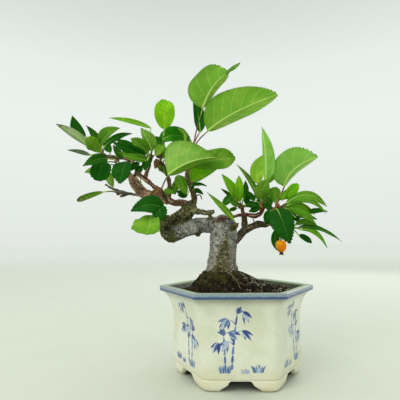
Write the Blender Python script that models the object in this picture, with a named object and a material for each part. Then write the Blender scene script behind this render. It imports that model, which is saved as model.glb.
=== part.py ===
"""A crabapple bonsai in a six-sided footed pot: pot, drain screen, soil, trunk, leafy shoots and fruit."""

import math
import random

import bmesh
import bpy
from mathutils import Vector

MM = 0.001
GAP = 0.3

# Pot: corner radii and heights in millimetres
CORNERS = 6
RIM_TOP_Z = 62.1
RIM_BAND = 3.4
RIM_R = 57.5
RIM_INNER_R = 50.2
BODY_R = 46.8
FOOT_R = 42.6
FLOOR_UNDER_Z = 8.2
FLOOR_TOP_Z = 12.8
FOOT_INNER_R = 35.5
DRAIN_R = 6.0
RIM_ROUND = 2.0
BODY_ROUND = 8.0
INNER_ROUND = 5.0
ARC_POINTS = 3
DRAIN_SIDES = 24
FOOT_OPENING = [(13.6, 0.0), (11.8, 1.6), (9.8, 2.9), (7.8, 4.2), (6.8, 6.0), (5.8, 7.2)]

# Drain screen
SCREEN_SIDE = 21.0
SCREEN_THICK = 0.8
SCREEN_CELLS = 4
SCREEN_WEB = 1.2

# Soil
SOIL_EDGE_Z = 57.4
MOUND_RISE = 15.2
MOUND_X = -10.0
MOUND_FLAT = 7.5
MOUND_FALL_LEFT = 14.1
MOUND_FALL_RIGHT = 24.5
MOUND_STEEP_LEFT = 3.0
MOUND_STEEP_RIGHT = 1.7
SOIL_SEED = 11
SOIL_BUMP = 0.55
SOIL_RINGS = (0.93, 0.84, 0.73, 0.61, 0.49, 0.36, 0.22, 0.08)

# Leaves
BLADE_THICK = 0.7
PETIOLE_R = 0.6
SHOOT_R = 1.35
RIB_STATIONS = 4
BASE_SINK = 0.16
ROOT_SINK = 0.9
ROOT_STEP = 0.45
LONG_BLADE = 33.0
SHORT_BLADE = 17.0
LONG_PETIOLE = 7.0
ROUND_TIP = 0.6
BARK_SHARP = 50.0
EDGE_SHARP = 35.0

# The tables give places as they look from the front, with their depth
VIEW_X = -14.4
VIEW_DEPTH = 282.3
VIEW_Z = 93.0


def seen(place):
    """A place given as x, z and depth, where x and z are read on the plane through the pot's middle."""
    x, z, depth = place[:3]
    spread = 1.0 + depth / VIEW_DEPTH
    return Vector((VIEW_X + (x - VIEW_X) * spread, depth, VIEW_Z + (z - VIEW_Z) * spread))


def clear_scene():
    """An empty scene to build in."""
    for thing in list(bpy.data.objects):
        bpy.data.objects.remove(thing, do_unlink=True)


def material(name, colour, rough):
    """A plain finish with one colour and one roughness."""
    made = bpy.data.materials.new(name)
    made.use_nodes = True
    shader = made.node_tree.nodes["Principled BSDF"]
    shader.inputs["Base Color"].default_value = (*colour, 1.0)
    shader.inputs["Roughness"].default_value = rough
    return made


def solid(name, points, faces, mat=None):
    """A mesh object from points in millimetres."""
    mesh = bpy.data.meshes.new(name)
    mesh.from_pydata([tuple(p * MM for p in point) for point in points], [], faces)
    mesh.update()
    made = bpy.data.objects.new(name, mesh)
    bpy.context.scene.collection.objects.link(made)
    if mat is not None:
        mesh.materials.append(mat)
    return made


def shade_round(thing, sharp):
    """Smooth shading, kept crisp at edges that turn by more than an angle in degrees."""
    for face in thing.data.polygons:
        face.use_smooth = True
    thing.data.set_sharp_from_angle(angle=math.radians(sharp))
    return thing


def tidy(mesh):
    """Faces out, doubled points joined, and only the largest body kept."""
    work = bmesh.new()
    work.from_mesh(mesh)
    bmesh.ops.remove_doubles(work, verts=work.verts, dist=1e-6)
    bmesh.ops.triangulate(work, faces=work.faces)
    bmesh.ops.dissolve_degenerate(work, edges=work.edges, dist=1e-6)
    bmesh.ops.triangulate(work, faces=work.faces)
    left = set(work.faces)
    bodies = []
    while left:
        body = {left.pop()}
        edge_of_body = list(body)
        while edge_of_body:
            face = edge_of_body.pop()
            for edge in face.edges:
                for other in edge.link_faces:
                    if other in left:
                        left.discard(other)
                        body.add(other)
                        edge_of_body.append(other)
        bodies.append(body)
    bodies.sort(key=len, reverse=True)
    scrap = [face for body in bodies[1:] for face in body]
    if scrap:
        bmesh.ops.delete(work, geom=scrap, context="FACES")
        loose = [point for point in work.verts if not point.link_faces]
        bmesh.ops.delete(work, geom=loose, context="VERTS")
    bmesh.ops.recalc_face_normals(work, faces=work.faces)
    work.to_mesh(mesh)
    work.free()
    return len(scrap)


def cut_or_join(first, others, operation, solver="EXACT"):
    """One Boolean of a collection on an object, applied, with the collection's objects removed."""
    group = bpy.data.collections.new(first.name + "_parts")
    bpy.context.scene.collection.children.link(group)
    for other in others:
        bpy.context.scene.collection.objects.unlink(other)
        group.objects.link(other)
    step = first.modifiers.new("shape", "BOOLEAN")
    step.operation = operation
    step.operand_type = "COLLECTION"
    step.collection = group
    step.solver = solver
    bpy.context.view_layer.update()
    graph = bpy.context.evaluated_depsgraph_get()
    mesh = bpy.data.meshes.new_from_object(first.evaluated_get(graph))
    first.modifiers.clear()
    first.data = mesh
    for other in list(group.objects):
        bpy.data.objects.remove(other, do_unlink=True)
    bpy.data.collections.remove(group)
    dropped = tidy(first.data)
    if dropped:
        print(first.name, "scrap faces dropped:", dropped)
    return first


# Swept tubes
def tube(path, radii, sides, wobble=0.0, phase=0.0, turn=0.0):
    """Points and faces of a closed tube along a path; wobble makes its section uneven, turn rolls it."""
    points = []
    faces = []
    before = None
    side = None
    for i, place in enumerate(path):
        ahead = path[min(i + 1, len(path) - 1)] - path[max(i - 1, 0)]
        ahead = ahead.normalized()
        if side is None:
            start = Vector((0, -1, 0)) if abs(ahead.y) < 0.9 else Vector((1, 0, 0))
            side = (start - ahead * start.dot(ahead)).normalized()
        else:
            side = before.rotation_difference(ahead) @ side
            side = (side - ahead * side.dot(ahead)).normalized()
        before = ahead
        over = ahead.cross(side)
        for k in range(sides):
            angle = math.tau * k / sides + turn
            uneven = math.sin(2 * angle + phase + i * 0.7) + 0.6 * math.sin(3 * angle + 2.1 * phase + i)
            reach = radii[i] * (1.0 + wobble * uneven)
            points.append(place + side * math.cos(angle) * reach + over * math.sin(angle) * reach)
    for i in range(len(path) - 1):
        for k in range(sides):
            a = i * sides + k
            b = i * sides + (k + 1) % sides
            faces.append((a, b, b + sides, a + sides))
    faces.append(tuple(reversed(range(sides))))
    last = (len(path) - 1) * sides
    faces.append(tuple(range(last, last + sides)))
    return points, faces


# The pot
def hexagon(corner_r, z, rounding):
    """A ring of points round a hexagon with rounded corners; corner_r reaches the rounded corner."""
    centre_r = corner_r - rounding
    ring = []
    for k in range(CORNERS):
        turn = math.tau * k / CORNERS
        for j in range(ARC_POINTS):
            bend = (j / (ARC_POINTS - 1) - 0.5) * math.tau / CORNERS
            ring.append(Vector((
                centre_r * math.cos(turn) + rounding * math.cos(turn + bend),
                centre_r * math.sin(turn) + rounding * math.sin(turn + bend),
                z,
            )))
    return ring


def loft(rings):
    """Points and faces of a closed body through rings of equal length, capped at both ends."""
    count = len(rings[0])
    points = [point for ring in rings for point in ring]
    faces = []
    for i in range(len(rings) - 1):
        for k in range(count):
            a = i * count + k
            b = i * count + (k + 1) % count
            faces.append((a, b, b + count, a + count))
    faces.append(tuple(reversed(range(count))))
    last = (len(rings) - 1) * count
    faces.append(tuple(range(last, last + count)))
    return points, faces


POT_OUTSIDE = [
    (FOOT_INNER_R, FLOOR_UNDER_Z, INNER_ROUND),
    (FOOT_INNER_R + 0.8, 0.0, INNER_ROUND),
    (FOOT_R, 0.0, BODY_ROUND - 1.0),
    (FOOT_R + 1.6, 0.8, BODY_ROUND - 1.0),
    (FOOT_R + 3.0, 3.0, BODY_ROUND - 1.0),
    (FOOT_R + 3.3, 6.9, BODY_ROUND - 1.0),
    (FOOT_R + 2.9, 7.5, BODY_ROUND - 1.0),
    (FOOT_R + 3.4, 8.2, BODY_ROUND),
    (BODY_R - 0.2, 12.0, BODY_ROUND),
    (BODY_R, 16.0, BODY_ROUND),
    (BODY_R, 40.0, BODY_ROUND),
    (BODY_R + 0.9, 46.0, BODY_ROUND - 1.0),
    (BODY_R + 2.3, 50.5, BODY_ROUND - 2.0),
    (BODY_R + 4.6, 54.6, BODY_ROUND - 3.5),
    (BODY_R + 7.4, 57.2, RIM_ROUND + 1.0),
    (RIM_R - 0.9, RIM_TOP_Z - RIM_BAND - 0.4, RIM_ROUND),
    (RIM_R, RIM_TOP_Z - RIM_BAND + 0.4, RIM_ROUND),
    (RIM_R, RIM_TOP_Z - 0.5, RIM_ROUND),
    (RIM_R - 0.5, RIM_TOP_Z, RIM_ROUND),
]
POT_INSIDE = [
    (RIM_INNER_R + 0.5, RIM_TOP_Z, INNER_ROUND - 1.0),
    (RIM_INNER_R, RIM_TOP_Z - 0.6, INNER_ROUND - 1.0),
    (RIM_INNER_R - 3.6, SOIL_EDGE_Z, INNER_ROUND - 0.5),
    (RIM_INNER_R - 6.6, 52.0, INNER_ROUND),
    (RIM_INNER_R - 8.0, 46.0, INNER_ROUND),
    (RIM_INNER_R - 8.2, 18.0, INNER_ROUND),
    (RIM_INNER_R - 9.4, 15.0, INNER_ROUND),
    (RIM_INNER_R - 12.0, FLOOR_TOP_Z, INNER_ROUND),
]


def prism(outline, length, turn):
    """A bar with an outline in width and height, lying across the pot at an angle."""
    points = []
    along = Vector((math.cos(turn), math.sin(turn), 0))
    across = Vector((-math.sin(turn), math.cos(turn), 0))
    for end in (-length, length):
        for width, z in outline:
            points.append(along * end + across * width + Vector((0, 0, z)))
    count = len(outline)
    faces = [tuple(reversed(range(count))), tuple(range(count, 2 * count))]
    for k in range(count):
        n = (k + 1) % count
        faces.append((k, n, n + count, k + count))
    return points, faces


def outward(thing):
    """Triangles all round, since a Boolean needs flat faces, with every face turned out."""
    work = bmesh.new()
    work.from_mesh(thing.data)
    bmesh.ops.triangulate(work, faces=work.faces)
    bmesh.ops.recalc_face_normals(work, faces=work.faces)
    work.to_mesh(thing.data)
    work.free()
    return thing


def make_pot(glaze):
    """The pot, lofted inside and out, with an opening under each side and a drain hole."""
    rings = [hexagon(*ring) for ring in POT_OUTSIDE + POT_INSIDE]
    pot = outward(solid("pot", *loft(rings), glaze))
    below = (FOOT_OPENING[0][0] + 1.2, -2.0)
    half = [below] + FOOT_OPENING
    outline = half + [(-width, z) for width, z in reversed(half)]
    cutters = []
    for k in range(CORNERS // 2):
        turn = math.tau * (k + 0.5) / CORNERS
        cutters.append(outward(solid("foot_opening", *prism(outline, 2 * FOOT_R, turn))))
    drain = [Vector((0, 0, FLOOR_UNDER_Z - 3)), Vector((0, 0, FLOOR_TOP_Z + 3))]
    cutters.append(outward(solid("drain", *tube(drain, [DRAIN_R, DRAIN_R], DRAIN_SIDES))))
    return shade_round(cut_or_join(pot, cutters, "DIFFERENCE"), EDGE_SHARP)


def box(low, high):
    """Points and faces of a plain box between two corners."""
    x_ends, y_ends, z_ends = zip(low, high)
    points = [Vector((x, y, z)) for z in z_ends for y in y_ends for x in x_ends]
    faces = [(0, 2, 3, 1), (4, 5, 7, 6), (0, 1, 5, 4), (2, 6, 7, 3), (0, 4, 6, 2), (1, 3, 7, 5)]
    return points, faces


def make_screen(plastic):
    """The small plastic screen that keeps the soil from the drain hole."""
    half = SCREEN_SIDE / 2
    low = FLOOR_TOP_Z + GAP
    screen = solid("drain_screen", *box((-half, -half, low), (half, half, low + SCREEN_THICK)), plastic)
    cell = (SCREEN_SIDE - SCREEN_WEB) / SCREEN_CELLS - SCREEN_WEB
    cutters = []
    for i in range(SCREEN_CELLS):
        for j in range(SCREEN_CELLS):
            x = -half + SCREEN_WEB + i * (cell + SCREEN_WEB)
            y = -half + SCREEN_WEB + j * (cell + SCREEN_WEB)
            far = (x + cell, y + cell, low + SCREEN_THICK + 1)
            cutters.append(solid("cell", *box((x, y, low - 1), far)))
    return cut_or_join(screen, cutters, "DIFFERENCE")


# The trunk: rows of x, z, depth and radius
TRUNK = [
    (-9.5, 38.0, 2, 5.0),
    (-9.5, 44.0, 2, 9.0),
    (-10.0, 52.0, 1, 12.0),
    (-10.2, 62.0, 0, 13.0),
    (-10.3, 69.0, 0, 12.3),
    (-10.2, 74.0, 0, 11.3),
    (-10.1, 80.6, 0, 10.4),
    (-9.4, 88.0, 0, 10.1),
    (-8.5, 96.0, 0, 10.5),
    (-8.1, 103.0, 0, 10.2),
    (-8.4, 108.0, 0, 9.6),
    (-9.2, 111.8, 0, 7.4),
    (-9.8, 113.8, 0, 3.6),
]
ROOTS = [
    [(-12, 56, -4, 5.5), (-19, 50, -11, 4.2), (-25, 43, -17, 3.0), (-27, 34, -19, 1.6)],
    [(-6, 56, -5, 5.5), (4, 49, -13, 4.2), (13, 42, -19, 3.0), (19, 33, -21, 1.6)],
    [(-14, 55, 6, 5.5), (-20, 47, 14, 4.0), (-24, 38, 21, 2.8), (-26, 29, 23, 1.6)],
    [(-4, 55, 6, 5.5), (6, 48, 13, 4.2), (15, 39, 18, 2.8), (21, 30, 19, 1.6)],
]
TRUNK_SIDES = 14
ROOT_SIDES = 6
TRUNK_WOBBLE = 0.035
ROOT_WOBBLE = 0.03
LIMB_WOBBLE = 0.04
TRUNK_PHASE = 1.3
# Limbs and twigs: sides, then rows of x, z, depth and radius
LIMBS = {
    "level_limb": (12, [
        (-8, 107.4, 0, 6.6), (-17, 107.4, -1, 6.2), (-24, 107.3, -2, 6.2), (-30, 106.1, -3, 6.6),
        (-35, 105.1, -4, 5.9), (-40, 103.6, -5, 5.9), (-44.5, 102.6, -6, 6.7), (-48.4, 102.7, -7, 7.6),
        (-50.8, 106.0, -7, 7.0), (-52.4, 110.0, -7, 5.8), (-53.2, 113.5, -7, 3.8),
    ]),
    "rising_limb": (10, [
        (-50, 105.5, -6, 7.0), (-45.5, 109.6, -6, 6.8), (-41.0, 113.2, -5, 6.0),
        (-37.0, 116.8, -4, 5.6), (-34.2, 120.6, -3, 5.0), (-33.4, 124.0, -2, 3.8), (-33.2, 126.2, -2, 2.0),
    ]),
    "crown_twig": (7, [
        (-34.5, 120, -3, 3.2), (-31.2, 125, 0, 2.5), (-31.3, 131, 3, 2.1), (-34.2, 139, 5, 1.9),
        (-36.2, 147, 6, 1.7), (-34.5, 156, 6, 1.6), (-32.8, 163, 5, 1.5),
    ]),
    "cut_stub": (7, [
        (-33, 118.5, -6, 2.6), (-26, 117.7, -8, 2.2), (-20.5, 116.8, -9, 1.9), (-15.6, 117.7, -10, 1.8),
    ]),
    "left_limb": (7, [
        (-35, 123, -3, 3.0), (-40.5, 124.8, -5, 2.6), (-46, 125.0, -7, 2.4), (-51, 127.2, -9, 2.5),
        (-55.5, 132.6, -10, 2.0), (-60, 136.4, -10, 1.8), (-64.5, 139.9, -9, 1.8), (-70.5, 145.3, -7, 1.8),
        (-75, 148.4, -5, 1.6), (-76.9, 154.5, -2, 1.4), (-80.5, 159.4, 1, 1.3), (-87.5, 161.4, 3, 1.2),
        (-93.5, 162.0, 3, 1.2),
    ]),
    "cluster_twig": (5, [
        (-70, 144.6, -7, 1.6), (-67.6, 151.2, -4, 1.4), (-66, 156.5, -2, 1.3), (-65.2, 159.4, -1, 1.3),
    ]),
    "low_left_limb": (7, [
        (-51, 126, -8, 2.6), (-57.5, 128.8, -5, 3.3), (-63.5, 130.4, -2, 3.8), (-69.6, 132.2, 2, 4.1),
        (-75.0, 137.4, 5, 4.1), (-78.4, 142.8, 7, 3.9), (-80.4, 146.8, 8, 3.1),
    ]),
    "thin_twig": (5, [
        (-67, 131.6, 0, 1.5), (-73, 131.3, 2, 1.2), (-81, 132.6, 3, 1.1), (-89, 134.6, 3, 1.1),
        (-96.2, 137.3, 3, 1.0), (-101.3, 140.6, 3, 0.8),
    ]),
    "thin_spur": (5, [(-82, 132.8, 3, 1.0), (-86.0, 131.6, 1, 1.0), (-89.4, 130.5, -1, 0.8)]),
    "leaf_spur": (5, [(-82.5, 132.9, 3, 1.0), (-85.2, 133.0, 6, 0.9), (-87.4, 133.2, 8, 0.9)]),
    "bud_twig": (5, [
        (-51.3, 127.5, -9, 1.9), (-50, 134.5, -4, 1.8), (-50.4, 141.5, 1, 1.6), (-52.4, 148.5, 5, 1.5),
        (-56.0, 153.6, 7, 1.5),
    ]),
    "petal_twig": (5, [(-51, 127.0, -9, 1.9), (-54.6, 130.6, -14, 1.5), (-56.4, 133.6, -17, 1.3)]),
    "inner_twig": (5, [(-33.5, 137.0, 5, 1.6), (-31.9, 138.6, 1, 1.3), (-31.3, 139.6, -2, 1.2)]),
    "elbow_twig": (5, [(-53, 111.5, -8, 2.2), (-54.6, 115.2, -13, 1.7), (-55.6, 117.0, -16, 1.5)]),
    "shoulder_twig": (5, [(-4, 104, -6, 2.2), (-0.6, 105.2, -10.5, 1.7), (0.9, 106.0, -13, 1.4)]),
    "across_twig": (5, [
        (-14, 110, -5, 1.6), (-10.5, 112.2, -10, 1.4), (-5, 112.7, -11, 1.3), (1.6, 114.2, -9, 1.3),
        (9, 115.1, -6, 1.4), (15.5, 114.0, -4, 1.7), (20.6, 116.2, -3, 1.6), (22.2, 119.2, -2, 1.4),
    ]),
    "right_limb": (7, [
        (-4, 92, 0, 3.4), (1.2, 95.8, 1, 3.1), (4.4, 99.2, 2, 2.9), (8.2, 103.2, 2, 2.9),
        (12.2, 105.2, 2, 2.6), (18.2, 107.6, 2, 2.6), (24.5, 107.6, 2, 2.3), (29.6, 109.8, 2, 2.0),
        (31.6, 113.8, 2, 1.8), (31.8, 117.8, 2, 1.6),
    ]),
    "upright_twig": (7, [
        (8.2, 103.4, 2, 2.8), (7.9, 109.5, 2, 2.3), (7.2, 115.5, 1, 1.8), (6.3, 119.0, 0, 1.3),
    ]),
    "low_right_twig": (5, [(30, 109.6, 2, 1.7), (35.4, 107.6, 5, 1.4), (40.6, 105.2, 7, 1.3)]),
    "fruit_twig": (5, [(31.6, 111.6, 2, 1.5), (34.2, 108.8, -2, 1.1), (35.2, 105.6, -5, 0.9)]),
    "fan_twig": (5, [(31.4, 112.6, 2, 1.6), (33.4, 115.8, 0, 1.4), (34.8, 118.4, -2, 1.3)]),
    "drape_twig": (5, [(30.4, 110.4, 2, 1.5), (30.6, 114.0, -4, 1.3), (31.0, 116.6, -8, 1.2)]),
}


def limb_path(rows, grow=0.0):
    """The places and radii of a limb, made thicker all round by grow."""
    return [seen(row) for row in rows], [row[3] + grow for row in rows]


def make_trunk(bark):
    """Trunk, roots, limbs and twigs, grown as one body."""
    path, radii = limb_path(TRUNK)
    trunk = outward(solid("trunk", *tube(path, radii, TRUNK_SIDES, TRUNK_WOBBLE, TRUNK_PHASE), bark))
    pieces = []
    for i, rows in enumerate(ROOTS):
        path, radii = limb_path(rows)
        pieces.append(outward(solid("root", *tube(path, radii, ROOT_SIDES, ROOT_WOBBLE, i))))
    for i, (name, (sides, rows)) in enumerate(LIMBS.items()):
        path, radii = limb_path(rows)
        pieces.append(outward(solid(name, *tube(path, radii, sides, LIMB_WOBBLE, 0.9 * i))))
    return shade_round(cut_or_join(trunk, pieces, "UNION"), BARK_SHARP)


def soil_height(x, y):
    """The soil's top: level at the pot's wall, mounded round the trunk."""
    far = math.hypot(x - MOUND_X, y)
    lean = 0.5 + 0.5 * (x - MOUND_X) / max(far, 1e-6)
    reach = MOUND_FALL_LEFT * (1 - lean) + MOUND_FALL_RIGHT * lean
    fall = max(0.0, far - MOUND_FLAT) / reach
    steep = MOUND_STEEP_LEFT * (1 - lean) + MOUND_STEEP_RIGHT * lean
    return SOIL_EDGE_Z + MOUND_RISE * math.exp(-fall ** steep)


def make_soil(earth):
    """The soil that fills the pot, with plain holes for the trunk, its roots and the drain screen."""
    rng = random.Random(SOIL_SEED)
    rings = [hexagon(RIM_INNER_R - 12.4, FLOOR_TOP_Z + GAP, INNER_ROUND)]
    for corner_r, z, rounding in reversed(POT_INSIDE[2:-1]):
        rings.append(hexagon(corner_r - 0.4, z + (0.25 if z < 20 else 0.0), rounding))
    edge = rings[-1]
    for share in SOIL_RINGS:
        ring = []
        for point in edge:
            x = MOUND_X * (1 - share) + point.x * share
            y = point.y * share
            ring.append(Vector((x, y, soil_height(x, y) + rng.uniform(-SOIL_BUMP, SOIL_BUMP))))
        rings.append(ring)
    soil = outward(solid("soil", *loft(rings), earth))
    cutters = []
    path, radii = limb_path(TRUNK, GAP)
    path[0] = path[0] - Vector((0, 0, GAP))
    cutters.append(outward(solid("trunk_hole", *tube(path, radii, TRUNK_SIDES, TRUNK_WOBBLE, TRUNK_PHASE))))
    for i, rows in enumerate(ROOTS):
        path, radii = limb_path(rows, GAP + 0.05)
        path[-1] = path[-1] + (path[-1] - path[-2]).normalized() * (GAP + 0.1)
        cutters.append(outward(solid("root_hole", *tube(path, radii, ROOT_SIDES, ROOT_WOBBLE, i))))
    half = SCREEN_SIDE / 2 + GAP
    low = FLOOR_TOP_Z - 1
    high = FLOOR_TOP_Z + 2 * GAP + SCREEN_THICK
    cutters.append(solid("screen_pocket", *box((-half, -half, low), (half, half, high))))
    return cut_or_join(soil, cutters, "DIFFERENCE")


# Leaf blades
def share_of_width(t, widest, blunt):
    """How wide a half of the blade is at t from its base; a negative blunt means a rounded tip."""
    if t < widest:
        return (1.0 - (1.0 - t / widest) ** 2) ** 0.6
    far = 1.0 - ((t - widest) / (1.0 - widest)) ** abs(blunt)
    return far if blunt > 0 else far ** ROUND_TIP


def blade(row, teeth):
    """Points and faces of one serrated blade: an even sheet, folded along its midrib."""
    base, middle, tip = (seen(place) for place in row[:3])
    left, right, roll, under, fold, widest, blunt = row[3:10]
    pull = middle * 2 - (base + tip) / 2

    def rib(t):
        return base * (1 - t) ** 2 + pull * 2 * t * (1 - t) + tip * t * t

    def frame(t):
        ahead = ((pull - base) * (1 - t) + (tip - pull) * t).normalized()
        facing = Vector((0, -1, 0))
        facing = (facing - ahead * facing.dot(ahead)).normalized()
        side = ahead.cross(facing)
        turn = math.radians(roll[0] + (roll[1] - roll[0]) * t)
        side_now = side * math.cos(turn) + facing * math.sin(turn)
        face_now = facing * math.cos(turn) - side * math.sin(turn)
        return side_now, face_now

    bend = math.radians(-fold if under else fold)
    half = BLADE_THICK / 2
    long_teeth = 2 * teeth
    upper = []
    lower = []

    def add(place, face, thick):
        upper.append(place + face * thick)
        lower.append(place - face * thick)
        return len(upper) - 1

    ribs = []
    for k in range(RIB_STATIONS + 1):
        t = k / RIB_STATIONS
        side, face = frame(t)
        ribs.append((t, add(rib(t), face, half / math.cos(bend))))
    edges = {}
    for hand, reach in ((-1, left), (1, right)):
        chain = [ribs[0]]
        for j in range(1, long_teeth):
            t = j / long_teeth
            tooth = 0.05 if j % 2 else -0.02
            forward = 0.35 / long_teeth if j % 2 else 0.0
            side, face = frame(t)
            out = side * hand * math.cos(bend) + face * math.sin(bend)
            normal = face * math.cos(bend) - side * hand * math.sin(bend)
            width = reach * (share_of_width(t, widest, blunt) + tooth)
            sag = face * (-0.02 if under else 0.02) * width * math.sin(9.0 * t + 1.7 * hand)
            chain.append((t, add(rib(t + forward) + out * width + sag, normal, half)))
        chain.append(ribs[-1])
        edges[hand] = chain
    count = len(upper)
    points = upper + lower
    faces = []
    for hand, chain in edges.items():
        i = 0
        j = 0
        while i < len(ribs) - 1 or j < len(chain) - 1:
            next_rib = ribs[i + 1][0] if i < len(ribs) - 1 else 9.0
            next_edge = chain[j + 1][0] if j < len(chain) - 1 else 9.0
            if next_edge <= next_rib:
                face = (ribs[i][1], chain[j][1], chain[j + 1][1])
                j += 1
            else:
                face = (ribs[i][1], chain[j][1], ribs[i + 1][1])
                i += 1
            if len(set(face)) < 3:
                continue
            if hand > 0:
                face = face[::-1]
            faces.append(face)
            faces.append(tuple(n + count for n in reversed(face)))
        for (_, a), (_, b) in zip(chain, chain[1:]):
            wall = (a, b, b + count, a + count)
            faces.append(wall if hand > 0 else wall[::-1])
    return points, faces, [rib(BASE_SINK * 0.4), rib(BASE_SINK)]


def bent(start, end, lift, count):
    """A gently bowed line between two places."""
    line = []
    for k in range(count + 1):
        t = k / count
        line.append(start.lerp(end, t) + Vector((0, 0, lift * math.sin(math.pi * t))))
    return line


def leafy_shoot(name, limb, stem, leaves, green):
    """A short shoot on the end of a twig with its petioles and blades, fused into one body."""
    rows = LIMBS[limb][1]
    end = seen(rows[-1])
    ahead = (end - seen(rows[-2])).normalized()
    path = [end + ahead * GAP, end + ahead * (GAP + 1.6)] + [seen(place) for place in stem]
    radii = [min(rows[-1][3], SHOOT_R)] + [SHOOT_R - 0.12 * k for k in range(len(path) - 1)]
    shoot = outward(solid(name, *tube(path, radii, 5), green))
    pieces = []
    for n, row in enumerate(leaves):
        size = (seen(row[0]) - seen(row[2])).length
        teeth = 5 if size > LONG_BLADE else 4 if size > SHORT_BLADE else 3
        points, faces, roots = blade(row, teeth)
        pieces.append(outward(solid("blade", points, faces)))
        where = row[10] if len(row) > 10 else len(path) - 1
        back = (path[where] - path[where - 1]).normalized()
        start = path[where] - back * (ROOT_SINK + ROOT_STEP * (n % 3))
        reach = (roots[0] - start).length
        bends = 2 if reach > LONG_PETIOLE else 1
        line = bent(start, roots[0], 0.06 * reach, bends) + [roots[1] + Vector((0.07, 0.05, 0.09))]
        thick = [PETIOLE_R + 0.15] + [PETIOLE_R] * bends + [PETIOLE_R * 0.8]
        pieces.append(outward(solid("petiole", *tube(line, thick, 4, turn=0.35))))
    return shade_round(cut_or_join(shoot, pieces, "UNION", "MANIFOLD"), EDGE_SHARP)


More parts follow.
